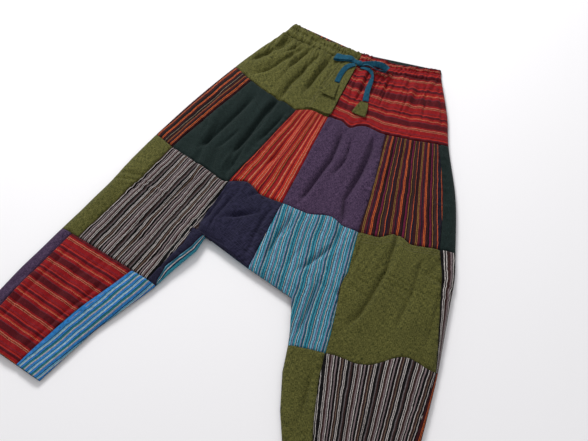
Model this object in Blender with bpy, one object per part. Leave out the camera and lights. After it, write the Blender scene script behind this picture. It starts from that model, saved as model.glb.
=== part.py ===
"""Hippie trousers: patchwork harem trousers, laid flat on their back.

The garment is two halves, left and right as seen from above. Each half is a flattened tube of
cloth, cut by row seams (band, yoke, rows 1 to 3) and by column seams into panels. Every panel is
a thin wall on one shared surface. X runs across, +Y runs from the hems to the waist and Z is up.
Tables are in centimetres, everything else is in metres.
"""
import math
from collections import namedtuple

import bpy

CM = 0.01

# Cloth and seams
CLOTH = 0.0016          # wall thickness of a panel
GAP = 0.0003            # space between two pieces at a seam
TAPE = 0.0012           # thickness of the drawstring tape
ORIGIN_X = 0.002        # the centre seam lies this far to the right of the box's middle
ORIGIN_Y = 0.0022       # and the tables' zero this far above the middle of its length

# Rim of the flattened tube
EDGE_HEIGHT = 0.5       # centimetres above the table at the outer edges
CROTCH_LIFT = 0.6       # more at the crotch edge
CROTCH = (0.0, -13.4)   # where the centre seam meets the crotch edge
CROTCH_REACH = (10.0, 20.0)
BACK_ROLL = 0.8         # how far in from the edge the back comes down to the table
CROTCH_ROLL = 1.7       # more at the crotch edge

# Gathers sewn into the waist
BAND_RIBS = 24          # on each half of the front band
BAND_RIB_RISE = 0.0012
CHANNEL_RISE = 0.0012   # each of the band's two elastic channels
YOKE_RIB_RISE = 0.0022
YOKE_RIB_FADE = 12.0    # centimetres below the band
BACK_RISE = 0.25        # how much higher the back of the band reaches, in centimetres

# Level 0 is the top of the waist, 1 the band seam, 2 the yoke seam, 3, 4 and 5 the lower edges
# of rows 1 to 3. The inner line is the centre seam down to the crotch, then the crotch edge and
# the inside of the leg. dip is how far a row sags below the straight line between the two.
Section = namedtuple("Section", "level inner_x inner_y outer_x outer_y dip")
SECTIONS = {
    "left": (
        Section(0.00, 0.0, 43.9, -16.8, 46.0, 0.6),
        Section(1.00, 0.0, 40.2, -18.2, 42.2, 0.5),
        Section(1.50, 0.0, 32.6, -20.9, 36.0, 1.3),
        Section(2.00, 0.0, 24.8, -23.6, 29.3, 2.2),
        Section(2.50, 0.0, 13.5, -27.4, 17.8, 2.0),
        Section(3.00, 0.0, 1.9, -30.4, 6.6, 1.6),
        Section(3.25, 0.0, -13.4, -32.0, -0.5, 0.0),
        Section(3.45, -10.2, -10.6, -33.0, -6.5, 0.0),
        Section(3.60, -10.4, -14.0, -33.9, -10.5, 0.0),
        Section(3.80, -12.6, -19.4, -35.0, -15.2, 0.0),
        Section(4.00, -14.0, -23.3, -36.2, -19.9, 0.0),
        Section(4.20, -16.4, -28.4, -37.4, -25.0, 0.0),
        Section(4.50, -19.6, -35.0, -39.0, -31.8, 0.0),
        Section(5.00, -23.6, -47.2, -41.2, -44.4, 0.0),
    ),
    "right": (
        Section(0.00, 0.0, 43.9, 16.9, 46.4, 0.8),
        Section(1.00, 0.0, 40.2, 18.4, 43.2, 0.6),
        Section(1.50, 0.0, 32.6, 22.3, 35.2, 0.9),
        Section(2.00, 0.0, 24.8, 25.0, 28.0, 1.1),
        Section(2.50, 0.0, 13.5, 30.2, 16.8, 1.3),
        Section(3.00, 0.0, 1.9, 34.0, 5.3, 1.5),
        Section(3.25, 0.0, -13.4, 35.5, 0.3, 0.0),
        Section(3.45, 9.7, -15.6, 36.4, -5.0, 0.0),
        Section(3.60, 10.7, -18.0, 37.0, -8.6, 0.0),
        Section(3.80, 12.0, -21.4, 37.8, -13.4, 0.0),
        Section(4.00, 12.8, -24.0, 38.6, -18.2, 0.4),
        Section(4.20, 13.9, -28.8, 39.2, -23.4, 0.2),
        Section(4.50, 16.4, -35.2, 39.9, -30.8, 0.0),
        Section(5.00, 22.6, -46.8, 40.8, -43.4, 0.0),
    ),
}

# Column seams, as shares of the way from the inner line to the outer edge: the front's two and
# the one behind
Seam = namedtuple("Seam", "level first second back")
SEAMS = {
    ("left", 1): (Seam(2.0, 0.28, 0.785, 0.5), Seam(3.0, 0.38, 0.845, 0.5)),
    ("left", 2): (Seam(3.0, 0.38, 0.845, 0.5), Seam(3.25, 0.394, 0.853, 0.5),
                  Seam(3.45, 0.13, 0.81, 0.32), Seam(4.0, 0.08, 0.815, 0.37)),
    ("left", 3): (Seam(4.0, 0.24, 0.88, 0.42), Seam(5.0, 0.30, 0.86, 0.46)),
    ("right", 1): (Seam(2.0, 0.495, 0.925, 0.5), Seam(3.0, 0.462, 0.912, 0.5)),
    ("right", 2): (Seam(3.0, 0.462, 0.912, 0.5), Seam(3.25, 0.483, 0.935, 0.5),
                   Seam(3.45, 0.295, 0.935, 0.36), Seam(4.0, 0.255, 0.985, 0.40)),
    ("right", 3): (Seam(4.0, 0.255, 0.985, 0.42), Seam(4.5, 0.245, 0.955, 0.44),
                   Seam(5.0, 0.22, 0.92, 0.46)),
}

# Height of the front at each place down the garment, and how wide its rounded rim is
Height = namedtuple("Height", "y height rim")
HEIGHTS = (
    Height(48.0, 0.75, 0.7), Height(42.0, 0.85, 0.9), Height(37.0, 1.25, 1.8),
    Height(25.0, 1.5, 2.2), Height(5.0, 1.7, 2.3), Height(-12.0, 1.9, 2.4),
    Height(-24.0, 1.6, 2.3), Height(-36.0, 1.4, 2.2), Height(-48.0, 0.9, 1.8),
)

# Places where a row seam is drawn up or down by the cloth's waves
Wave = namedtuple("Wave", "x y reach_x reach_y rise")
WAVES = (
    Wave(-7.0, 24.4, 3.0, 6.0, -0.7), Wave(-3.6, 25.0, 3.4, 6.0, 0.6),
    Wave(5.0, 24.4, 2.2, 6.0, -0.9), Wave(8.0, 25.5, 3.4, 6.0, 0.7),
    Wave(-8.2, 2.5, 4.2, 8.0, 1.5), Wave(-13.5, 2.2, 3.0, 8.0, -0.4),
    Wave(9.5, 2.0, 4.6, 8.0, 1.2), Wave(22.6, 3.2, 3.4, 8.0, 1.6),
    Wave(25.5, -22.0, 5.0, 8.0, -0.8), Wave(32.6, -19.5, 5.6, 8.0, 1.9),
)

# Creases of the front: points along each, half its width and its depth; below zero is a ridge
Fold = namedtuple("Fold", "points reach depth")
FOLDS = (
    Fold(((-15.0, 41.8), (-17.9, 36.0), (-21.4, 31.0)), 1.3, 0.45),
    Fold(((-12.0, 41.0), (-14.8, 34.6), (-19.4, 28.4)), 1.4, 0.50),
    Fold(((-10.4, 40.4), (-13.0, 32.4)), 1.1, 0.35),
    Fold(((-7.9, 39.8), (-10.7, 29.4), (-11.4, 24.6), (-12.3, 19.0)), 1.3, 0.55),
    Fold(((-5.4, 39.6), (-6.5, 33.5), (-7.2, 27.4)), 1.1, 0.45),
    Fold(((5.2, 39.6), (5.8, 34.0), (5.0, 26.6)), 1.2, 0.35),
    Fold(((9.6, 40.8), (10.6, 34.5), (11.0, 27.6)), 1.2, 0.35),
    Fold(((13.6, 42.2), (15.2, 35.0), (16.0, 27.4)), 1.2, 0.40),
    Fold(((16.4, 42.4), (18.6, 36.4), (20.4, 29.4)), 1.1, 0.30),
    Fold(((-16.0, 24.6), (-17.9, 16.0), (-21.2, 6.0)), 1.5, 0.45),
    Fold(((-11.4, 24.0), (-12.6, 16.4), (-14.4, 7.0)), 1.3, 0.60),
    Fold(((-8.4, 23.0), (-10.2, 14.6), (-12.4, 4.0)), 1.5, 0.45),
    Fold(((-19.4, 26.0), (-22.4, 16.0), (-25.0, 7.0)), 1.3, 0.35),
    Fold(((-5.0, 22.6), (-5.4, 13.0), (-7.4, 5.6)), 1.4, 0.40),
    Fold(((-2.2, 23.6), (-2.4, 13.0), (-3.4, 4.4)), 1.2, 0.35),
    Fold(((4.4, 23.4), (4.7, 15.5), (2.8, 3.4)), 1.3, 0.55),
    Fold(((7.0, 22.6), (7.2, 16.0), (6.2, 10.0)), 1.2, 0.30),
    Fold(((10.8, 24.4), (11.3, 15.0), (11.6, 8.0), (12.6, 0.6), (13.0, -4.0)), 1.5, 0.60),
    Fold(((17.4, 24.6), (19.2, 15.0), (22.2, 5.0)), 1.3, 0.35),
    Fold(((22.4, 10.0), (23.0, 3.4), (23.3, -4.0), (22.2, -13.0), (20.6, -18.0)), 1.4, 0.45),
    Fold(((22.2, 25.6), (26.0, 15.0), (27.8, 8.0)), 1.2, 0.30),
    Fold(((-4.8, 3.2), (-7.0, -0.6)), 1.0, 0.30),
    Fold(((-2.6, -1.6), (-9.6, -6.0)), 1.1, 0.35),
    Fold(((-11.2, 1.0), (-11.7, -6.0), (-13.4, -13.0)), 1.1, 0.35),
    Fold(((-15.0, 1.4), (-18.0, -9.0), (-21.8, -19.0)), 2.4, 0.60),
    Fold(((-21.6, 3.0), (-24.6, -8.0), (-28.4, -20.0)), 1.8, 0.35),
    Fold(((2.9, 1.4), (2.1, -5.0), (2.4, -11.0)), 1.3, 0.45),
    Fold(((13.2, -2.4), (10.9, -6.1), (8.0, -11.4)), 1.3, 0.45),
    Fold(((13.0, -9.0), (13.4, -15.6), (13.7, -23.0)), 1.3, 0.50),
    Fold(((17.8, -25.0), (19.8, -33.4), (20.4, -40.0)), 1.4, 0.35),
    Fold(((24.6, -24.0), (27.6, -34.0), (28.6, -44.0)), 1.9, 0.45),
    Fold(((33.4, -20.6), (33.6, -30.0), (33.2, -42.0)), 1.9, 0.45),
    Fold(((-18.6, -26.0), (-22.4, -36.0), (-26.0, -45.0)), 1.6, 0.40),
    Fold(((-27.4, -24.0), (-30.4, -35.0), (-32.6, -45.0)), 1.9, 0.45),
    Fold(((-35.0, -12.0), (-36.6, -26.0), (-38.6, -40.0)), 1.4, 0.25),
)
FOLD_END = 4.0          # centimetres over which a crease fades at each end

# Soft waves all over the front: height and the lengths across and along
SWELL = 0.07
SWELL_ACROSS, SWELL_ALONG = 8.3, 13.7

# Mesh steps down each row and across each panel
ROW_LEVELS = {
    "band": (0.0, 0.5, 1.0),
    "yoke": (1.0, 1.1, 1.25, 1.45, 1.7, 2.0),
    1: (2.0, 2.14, 2.29, 2.43, 2.57, 2.71, 2.86, 3.0),
    2: (3.0, 3.09, 3.17, 3.22, 3.25, 3.32, 3.39, 3.45, 3.6, 3.8, 4.0),
    3: (4.0, 4.14, 4.29, 4.43, 4.57, 4.71, 4.86, 5.0),
}
FRONT_STEPS = {
    ("left", 1): (9, 12), ("left", 2): (9, 12), ("left", 3): (5, 10),
    ("right", 1): (10, 11), ("right", 2): (10, 11), ("right", 3): (10, 11),
}
SIDE_FRONT_STEPS = 4
SIDE_BACK_STEPS = 6
BACK_STEPS = 5
CURL_STEPS = 4

# Fly flap, over the left yoke beside the centre seam
FLY_TOP, FLY_BOTTOM = 39.4, 25.3
FLY_LEFT = (-3.5, -5.2)  # its sewn side at the top and at the bottom
FLY_RIGHT = 0.3
FLY_LIFT = 0.25         # how far its right edge stands off
FLY_REACH = 0.6

# Drawstring bow
KNOT = (0.6, 40.3)
KNOT_SIZE = (0.85, 0.75, 0.42)
TAPE_WIDTH = 1.4
TAIL_WIDTH = 1.1
LOOP_RISE = 0.32
LOOPS = {
    "left": ((-0.35, 40.5), (-2.4, 40.5), (-4.9, 40.2)),
    "right": ((1.55, 40.5), (4.2, 40.6), (7.2, 40.5)),
}
Station = namedtuple("Station", "x y width")
TAILS = {
    "left": (Station(0.1, 39.45, 0.8), Station(-0.8, 38.8, 1.1), Station(-1.45, 37.6, 1.1),
             Station(-1.75, 35.6, 1.1), Station(-1.7, 33.4, 1.1)),
    "right": (Station(1.3, 39.5, 0.6), Station(2.5, 39.2, 0.8), Station(3.7, 38.9, 0.8),
              Station(4.5, 38.0, 0.7), Station(4.8, 36.4, 1.0), Station(5.0, 34.0, 1.1),
              Station(5.6, 31.2, 1.3)),
}
TIPS = {
    "left": (Station(-1.85, 31.9, 1.9), Station(-2.05, 30.4, 2.7), Station(-2.2, 29.1, 3.4)),
    "right": (Station(5.6, 30.2, 2.0), Station(5.6, 28.8, 2.6), Station(5.55, 27.3, 3.0)),
}

# Cloths: base colour and roughness
CLOTHS = {
    "olive": ((0.13, 0.13, 0.045), 0.9),
    "crimson": ((0.42, 0.02, 0.02), 0.85),
    "red_stripe": ((0.50, 0.03, 0.03), 0.85),
    "bottle_green": ((0.02, 0.04, 0.04), 0.9),
    "maroon_stripe": ((0.13, 0.01, 0.01), 0.85),
    "purple": ((0.10, 0.06, 0.14), 0.9),
    "burgundy_stripe": ((0.15, 0.02, 0.03), 0.85),
    "navy": ((0.03, 0.03, 0.06), 0.9),
    "mono_stripe": ((0.12, 0.09, 0.08), 0.85),
    "turquoise_stripe": ((0.15, 0.38, 0.45), 0.85),
    "bright_blue": ((0.10, 0.35, 0.62), 0.85),
    "teal_tape": ((0.01, 0.14, 0.24), 0.9),
}
YOKE_CLOTHS = {"front_left": "olive", "front_right": "crimson",
               "back_left": "maroon_stripe", "back_right": "bottle_green"}
PANEL_CLOTHS = {
    ("left", 1): ("red_stripe", "bottle_green", "maroon_stripe", "purple"),
    ("left", 2): ("navy", "mono_stripe", "olive", "turquoise_stripe"),
    ("left", 3): ("bright_blue", "crimson", "purple", "bottle_green"),
    ("right", 1): ("purple", "burgundy_stripe", "bottle_green", "red_stripe"),
    ("right", 2): ("turquoise_stripe", "olive", "mono_stripe", "navy"),
    ("right", 3): ("olive", "mono_stripe", "maroon_stripe", "bottle_green"),
}


def clear_scene():
    for obj in list(bpy.data.objects):
        bpy.data.objects.remove(obj, do_unlink=True)


def make_material(name):
    colour, roughness = CLOTHS[name]
    material = bpy.data.materials.get(name) or bpy.data.materials.new(name)
    material.use_nodes = True
    shader = material.node_tree.nodes["Principled BSDF"]
    shader.inputs["Base Color"].default_value = (*colour, 1.0)
    shader.inputs["Roughness"].default_value = roughness
    shader.inputs["Metallic"].default_value = 0.0
    return material


def smooth_step(value, start, end):
    t = min(max((value - start) / (end - start), 0.0), 1.0)
    return t * t * (3.0 - 2.0 * t)


def bell(value):
    """1 at 0, falling smoothly to 0 at 1 and beyond."""
    return 1.0 - smooth_step(abs(value), 0.0, 1.0)


def read_table(rows, key, at, column):
    """A column of a table whose key rises or falls, read between its rows."""
    for low, high in zip(rows, rows[1:]):
        a, b = getattr(low, key), getattr(high, key)
        if min(a, b) <= at <= max(a, b):
            t = (at - a) / (b - a)
            return getattr(low, column) * (1.0 - t) + getattr(high, column) * t
    first, last = rows[0], rows[-1]
    near_first = abs(at - getattr(first, key)) < abs(at - getattr(last, key))
    return getattr(first if near_first else last, column)


def slope(rows, index, column):
    """Slope of a smooth curve through a table's rows, at one row."""
    low, high = max(index - 1, 0), min(index + 1, len(rows) - 1)
    rise = getattr(rows[high], column) - getattr(rows[low], column)
    return rise / (rows[high].level - rows[low].level)


def read_smooth(rows, level, column):
    """The same by a smooth curve through the rows."""
    index = 0
    while index < len(rows) - 2 and level > rows[index + 1].level:
        index += 1
    low, high = rows[index], rows[index + 1]
    span = high.level - low.level
    t = (level - low.level) / span
    a, b = getattr(low, column), getattr(high, column)
    ma, mb = slope(rows, index, column) * span, slope(rows, index + 1, column) * span
    return (a * (1 + 2 * t) * (1 - t) ** 2 + ma * t * (1 - t) ** 2
            + b * t * t * (3 - 2 * t) + mb * t * t * (t - 1))


def plan_point(half, level, share, front=True):
    """Where a level and a share of the width fall, in centimetres, seen from above. Only the
    front's rows sag and wave all the way down."""
    rows = SECTIONS[half]
    inner_x = read_table(rows, "level", level, "inner_x")
    inner_y = read_table(rows, "level", level, "inner_y")
    outer_x = read_smooth(rows, level, "outer_x")
    outer_y = read_smooth(rows, level, "outer_y")
    x = inner_x + (outer_x - inner_x) * share
    y = inner_y + (outer_y - inner_y) * share
    sag = read_table(rows, "level", level, "dip") * 4.0 * share * (1.0 - share)
    if not front:
        waist = 1.0 - smooth_step(level, 0.0, 2.0)
        return x, y - sag * waist + BACK_RISE * (1.0 - smooth_step(level, 0.0, 1.0))
    y -= sag
    for wave in WAVES:
        y += wave.rise * bell((x - wave.x) / wave.reach_x) * bell((y - wave.y) / wave.reach_y)
    return x, y


def edge_line(half, first_level, share):
    """The outer edge or the inside of a leg, as a chain of points."""
    last_level = 5.0
    steps = 60
    levels = [first_level + (last_level - first_level) * i / steps for i in range(steps + 1)]
    levels += [row.level for row in SECTIONS[half] if row.level > first_level]
    return [plan_point(half, level, share) for level in sorted(set(levels))]


def build_edges():
    """Short lengths of the cloth's edges, each with the side on which it faces out."""
    crotch_level = 3.25
    lines = (("left", 0.0, 1.0, 1.0), ("right", 0.0, 1.0, -1.0),
             ("left", crotch_level, 0.0, -1.0), ("right", crotch_level, 0.0, 1.0))
    edges = []
    for half, first_level, share, side in lines:
        line = edge_line(half, first_level, share)
        edges += [(start, end, side) for start, end in zip(line, line[1:])]
    return edges


EDGES = build_edges()


def nearest_on(start, end, x, y):
    dx, dy = end[0] - start[0], end[1] - start[1]
    length_squared = dx * dx + dy * dy
    t = ((x - start[0]) * dx + (y - start[1]) * dy) / length_squared
    t = min(max(t, 0.0), 1.0)
    return start[0] + dx * t, start[1] + dy * t, t, math.sqrt(length_squared)


def edge_distance(x, y):
    """Distance to the nearest edge of the cloth and the direction out to it."""
    best = None
    for start, end, side in EDGES:
        px, py, _, _ = nearest_on(start, end, x, y)
        distance = math.hypot(px - x, py - y)
        if best is None or distance < best[0]:
            best = (distance, px, py, start, end, side)
    distance, px, py, start, end, side = best
    touching = 0.03
    if distance > touching:
        return distance, (px - x) / distance, (py - y) / distance
    nx, ny = end[1] - start[1], start[0] - end[0]
    size = math.hypot(nx, ny) * side
    return 0.0, nx / size, ny / size


def edge_height(x, y):
    reach = math.hypot(x - CROTCH[0], y - CROTCH[1])
    lift = 1.0 - smooth_step(reach, *CROTCH_REACH)
    return EDGE_HEIGHT + CROTCH_LIFT * lift, BACK_ROLL + CROTCH_ROLL * lift


def fold_depth(x, y):
    """How far the creases draw the front down at a place."""
    total = 0.0
    for fold in FOLDS:
        best, along, run = None, 0.0, 0.0
        for start, end in zip(fold.points, fold.points[1:]):
            px, py, t, length = nearest_on(start, end, x, y)
            distance = math.hypot(px - x, py - y)
            if best is None or distance < best:
                best, along = distance, run + t * length
            run += length
        if best < fold.reach:
            ends = min(along, run - along) / FOLD_END + 0.15
            total += fold.depth * bell(best / fold.reach) * smooth_step(ends, 0.0, 1.0)
    return total


def front_surface(x, y):
    """Outer point of the front and the direction of its wall, at a place seen from above."""
    distance, out_x, out_y = edge_distance(x, y)
    edge, _ = edge_height(x, y)
    height = read_table(HEIGHTS, "y", y, "height")
    rim = read_table(HEIGHTS, "y", y, "rim")
    cosine = max(1.0 - distance / rim, 0.0)
    sine = math.sqrt(1.0 - cosine * cosine)
    swell = (SWELL * math.sin(2.0 * math.pi * (x / SWELL_ACROSS + y / 61.0))
             * math.sin(2.0 * math.pi * (y / SWELL_ALONG - x / 47.0)))
    z = edge + (height - edge + swell - fold_depth(x, y)) * sine
    return (x, y, z), (cosine * out_x, cosine * out_y, sine)


def back_surface(x, y):
    distance, out_x, out_y = edge_distance(x, y)
    edge, roll = edge_height(x, y)
    cosine = max(1.0 - distance / roll, 0.0)
    nearly_flat = 0.15
    if cosine < nearly_flat:
        return (x, y, 0.0), (0.0, 0.0, -1.0)
    sine = math.sqrt(1.0 - cosine * cosine)
    return (x, y, edge * (1.0 - sine)), (cosine * out_x, cosine * out_y, -sine)


def between(start, end, t):
    """A plan point a share of the way from one to another."""
    return start[0] + (end[0] - start[0]) * t, start[1] + (end[1] - start[1]) * t


def drawn_in(line, inside, by):
    """A line of plan points moved square to itself, towards the side where inside lies. Where
    the line turns back under itself, the point moves straight towards inside."""
    moved = []
    for i, (x, y) in enumerate(line):
        before, after = line[max(i - 1, 0)], line[min(i + 1, len(line) - 1)]
        in_x, in_y = inside[i][0] - x, inside[i][1] - y
        onward = (x - before[0]) * (after[0] - x) + (y - before[1]) * (after[1] - y)
        nx, ny = (before[1] - after[1], after[0] - before[0]) if onward >= 0.0 else (in_x, in_y)
        size = math.hypot(nx, ny)
        if nx * in_x + ny * in_y < 0.0:
            size = -size
        moved.append((x + nx / size * by, y + ny / size * by))
    return moved


def open_seams(plan, left, right, top, bottom):
    """Draw a panel's sewn edges in by half of the gap."""
    half_gap = GAP / CM / 2.0
    if top:
        plan[0] = drawn_in(plan[0], plan[1], half_gap)
    if bottom:
        plan[-1] = drawn_in(plan[-1], plan[-2], half_gap)
    columns = [list(column) for column in zip(*plan)]
    if left:
        columns[0] = drawn_in(columns[0], columns[1], half_gap)
    if right:
        columns[-1] = drawn_in(columns[-1], columns[-2], half_gap)
    return [list(row) for row in zip(*columns)]


def make_wall(name, outer, inner, cloth):
    """One closed wall between two grids of points, given in metres."""
    rows, columns = len(outer), len(outer[0])
    count = rows * columns
    points = [point for grid in (outer, inner) for row in grid for point in row]
    faces = []
    for i in range(rows - 1):
        for j in range(columns - 1):
            a, b = i * columns + j, i * columns + j + 1
            c, d = b + columns, a + columns
            faces.append((a, b, c, d))
            faces.append((a + count, d + count, c + count, b + count))
    rim = [j for j in range(columns)]
    rim += [i * columns + columns - 1 for i in range(1, rows)]
    rim += [(rows - 1) * columns + j for j in range(columns - 2, -1, -1)]
    rim += [i * columns for i in range(rows - 2, 0, -1)]
    for a, b in zip(rim, rim[1:] + rim[:1]):
        faces.append((b, a, a + count, b + count))
    moved = [(x + ORIGIN_X, y + ORIGIN_Y, z) for x, y, z in points]
    mesh = bpy.data.meshes.new(name)
    mesh.from_pydata(moved, [], faces)
    mesh.materials.append(make_material(cloth))
    if volume_of(mesh) < 0.0:
        mesh.flip_normals()
    obj = bpy.data.objects.new(name, mesh)
    bpy.context.collection.objects.link(obj)
    return obj


def volume_of(mesh):
    mesh.calc_loop_triangles()
    total = 0.0
    for triangle in mesh.loop_triangles:
        a, b, c = (mesh.vertices[i].co for i in triangle.vertices)
        total += a.dot(b.cross(c)) / 6.0
    return total


def make_panel(name, plan, surfaces, cloth, lift=0.0, raised=None):
    """A wall on the shared surface. surfaces names the front or the back for each column, and
    raised gives how far a column and row of outer points stand up as gathers."""
    outer, inner = [], []
    for i, row in enumerate(plan):
        outer_row, inner_row = [], []
        for j, (x, y) in enumerate(row):
            (px, py, pz), (nx, ny, nz) = surfaces[j](x, y)
            base = (px * CM, py * CM, pz * CM + lift)
            rise = raised(i, j) * max(nz, 0.0) if raised else 0.0
            outer_row.append((base[0], base[1], base[2] + rise))
            inner_row.append((base[0] - nx * CLOTH, base[1] - ny * CLOTH, base[2] - nz * CLOTH))
        outer.append(outer_row)
        inner.append(inner_row)
    return make_wall(name, outer, inner, cloth)


def curled_shares(steps, curl):
    """Shares of the width from 0 to 1, even at first and close together round the edge."""
    even = [(1.0 - curl) * i / steps for i in range(steps + 1)]
    turn = [1.0 - curl * (1.0 - math.sin(math.pi / 2 * i / CURL_STEPS))
            for i in range(1, CURL_STEPS + 1)]
    return even + turn


def inner_shares(half, row, level):
    """The front inner panel's columns, closer together along the crotch and the leg."""
    steps = FRONT_STEPS[half, row][0]
    crowd = 1.0 + 0.6 * smooth_step(level, 3.0, 3.25)
    first = read_table(SEAMS[half, row], "level", level, "first")
    return [first * (j / steps) ** crowd for j in range(steps + 1)]


def outer_shares(half, row, level):
    steps = FRONT_STEPS[half, row][1]
    first = read_table(SEAMS[half, row], "level", level, "first")
    second = read_table(SEAMS[half, row], "level", level, "second")
    return [first + (second - first) * j / steps for j in range(steps + 1)]


def side_front_shares(half, row, level):
    second = read_table(SEAMS[half, row], "level", level, "second")
    return [second + (1.0 - second) * math.sin(math.pi / 2 * j / SIDE_FRONT_STEPS)
            for j in range(SIDE_FRONT_STEPS + 1)]


def crowded(steps, crowd):
    """Shares from 0 to 1 that lie closest together at the start."""
    return [(j / steps) ** crowd for j in range(steps + 1)]


def back_seam(half, row, levels):
    """The seam behind, straight from the top of a row to its foot."""
    top, foot = (plan_point(half, level, read_table(SEAMS[half, row], "level", level, "back"),
                            False) for level in (levels[0], levels[-1]))
    return [between(top, foot, (level - levels[0]) / (levels[-1] - levels[0]))
            for level in levels]


def make_band(half):
    levels = ROW_LEVELS["band"]
    shares = curled_shares(2 * BAND_RIBS, 0.05)
    plan = [[plan_point(half, level, share) for share in shares] for level in levels]
    plan = open_seams(plan, True, False, False, True)

    def gathers(row, column):
        rib = BAND_RIB_RISE if column % 2 else 0.0
        between_channels = row % 2 == 1
        return rib * 0.5 if between_channels else rib + CHANNEL_RISE

    make_panel(f"band_front_{half}", plan, [front_surface] * len(shares),
               YOKE_CLOTHS[f"front_{half}"], GAP, gathers)
    make_waist_back("band", half, False)


def make_yoke(half):
    levels = ROW_LEVELS["yoke"]
    shares = inner_shares(half, 1, 2.0)
    shares += outer_shares(half, 1, 2.0)[1:] + side_front_shares(half, 1, 2.0)[1:]
    plan = [[plan_point(half, level, share) for share in shares] for level in levels]
    plan = open_seams(plan, True, False, True, True)
    flat_columns = SIDE_FRONT_STEPS + 1

    def gathers(row, column):
        below = plan[0][column][1] - plan[row][column][1]
        fade = max(1.0 - below / YOKE_RIB_FADE, 0.0)
        raised = column % 2 and column < len(shares) - flat_columns
        return YOKE_RIB_RISE * fade if raised else 0.0

    make_panel(f"yoke_front_{half}", plan, [front_surface] * len(shares),
               YOKE_CLOTHS[f"front_{half}"], GAP, gathers)
    make_waist_back("yoke", half, True)


def make_waist_back(kind, half, sewn_above):
    levels = ROW_LEVELS[kind]
    shares = curled_shares(BACK_STEPS, 0.04)
    plan = [[plan_point(half, level, share, False) for share in shares] for level in levels]
    plan = open_seams(plan, True, False, sewn_above, True)
    make_panel(f"{kind}_back_{half}", plan, [back_surface] * len(shares),
               YOKE_CLOTHS[f"back_{half}"])


def make_row(half, row):
    """The four panels of one row on one half."""
    levels = ROW_LEVELS[row]
    cloths = PANEL_CLOTHS[half, row]
    sewn_below = row < 3
    sewn_inside = row < 3

    def panel(part, cloth, plan, surfaces, sewn_left, sewn_right, lift=0.0):
        plan = open_seams(plan, sewn_left, sewn_right, True, sewn_below)
        make_panel(f"row{row}_{half}_{part}", plan, surfaces, cloth, lift)

    def front(level, shares):
        return [plan_point(half, level, share) for share in shares]

    inner = [front(level, inner_shares(half, row, level)) for level in levels]
    panel("front_inner", cloths[0], inner, [front_surface] * len(inner[0]),
          sewn_inside, True, GAP)
    outer = [front(level, outer_shares(half, row, level)) for level in levels]
    panel("front_outer", cloths[1], outer, [front_surface] * len(outer[0]), True, True)
    seams = back_seam(half, row, levels)
    side = [front(level, side_front_shares(half, row, level))
            + [between(plan_point(half, level, 1.0, False), seam, t)
               for t in crowded(SIDE_BACK_STEPS, 2.6)[1:]]
            for level, seam in zip(levels, seams)]
    side_surfaces = [front_surface] * SIDE_FRONT_STEPS + [back_surface] * (SIDE_BACK_STEPS + 1)
    panel("side", cloths[2], side, side_surfaces, True, True)
    behind = [[between(plan_point(half, level, 0.0, False), seam, t)
               for t in crowded(BACK_STEPS, 2.4)]
              for level, seam in zip(levels, seams)]
    panel("back_inner", cloths[3], behind, [back_surface] * len(behind[0]), sewn_inside, True)


def front_top(x, y, reach):
    """The highest point of the front within a reach, gathers included, in metres."""
    band_seam = 40.9
    gathers = BAND_RIB_RISE + CHANNEL_RISE if y + reach > band_seam else YOKE_RIB_RISE
    offsets = (-reach, -reach / 2, 0.0, reach / 2, reach)
    highest = max(front_surface(x + dx, y + dy)[0][2] for dx in offsets for dy in offsets)
    return highest * CM + gathers + GAP


def make_fly():
    """The olive flap beside the centre seam, whose right edge stands off."""
    rows, columns = 9, 5
    outer, inner = [], []
    for i in range(rows + 1):
        down = i / rows
        y = FLY_TOP + (FLY_BOTTOM - FLY_TOP) * down
        left = FLY_LEFT[0] + (FLY_LEFT[1] - FLY_LEFT[0]) * down
        inner_row = []
        for j in range(columns + 1):
            across = j / columns
            x = left + (FLY_RIGHT - left) * across
            z = front_top(x, y, FLY_REACH) + FLY_LIFT * CM * across ** 3
            inner_row.append((x * CM, y * CM, z))
        inner.append(inner_row)
        outer.append([(x, y, z + CLOTH) for x, y, z in inner_row])
    make_wall("fly_flap", outer, inner, "olive")


def strip_rows(stations, heights):
    """Left, middle and right points of a flat strip along its stations, in metres."""
    rows = []
    for i, station in enumerate(stations):
        before, after = stations[max(i - 1, 0)], stations[min(i + 1, len(stations) - 1)]
        dx, dy = after.x - before.x, after.y - before.y
        size = math.hypot(dx, dy)
        side_x, side_y = -dy / size * station.width / 2, dx / size * station.width / 2
        rows.append([((station.x + side_x * s) * CM, (station.y + side_y * s) * CM, heights[i])
                     for s in (1.0, 0.0, -1.0)])
    return rows


def make_strip(name, lower, cloth):
    upper = [[(x, y, z + TAPE) for x, y, z in row] for row in lower]
    make_wall(name, upper, lower, cloth)


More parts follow.
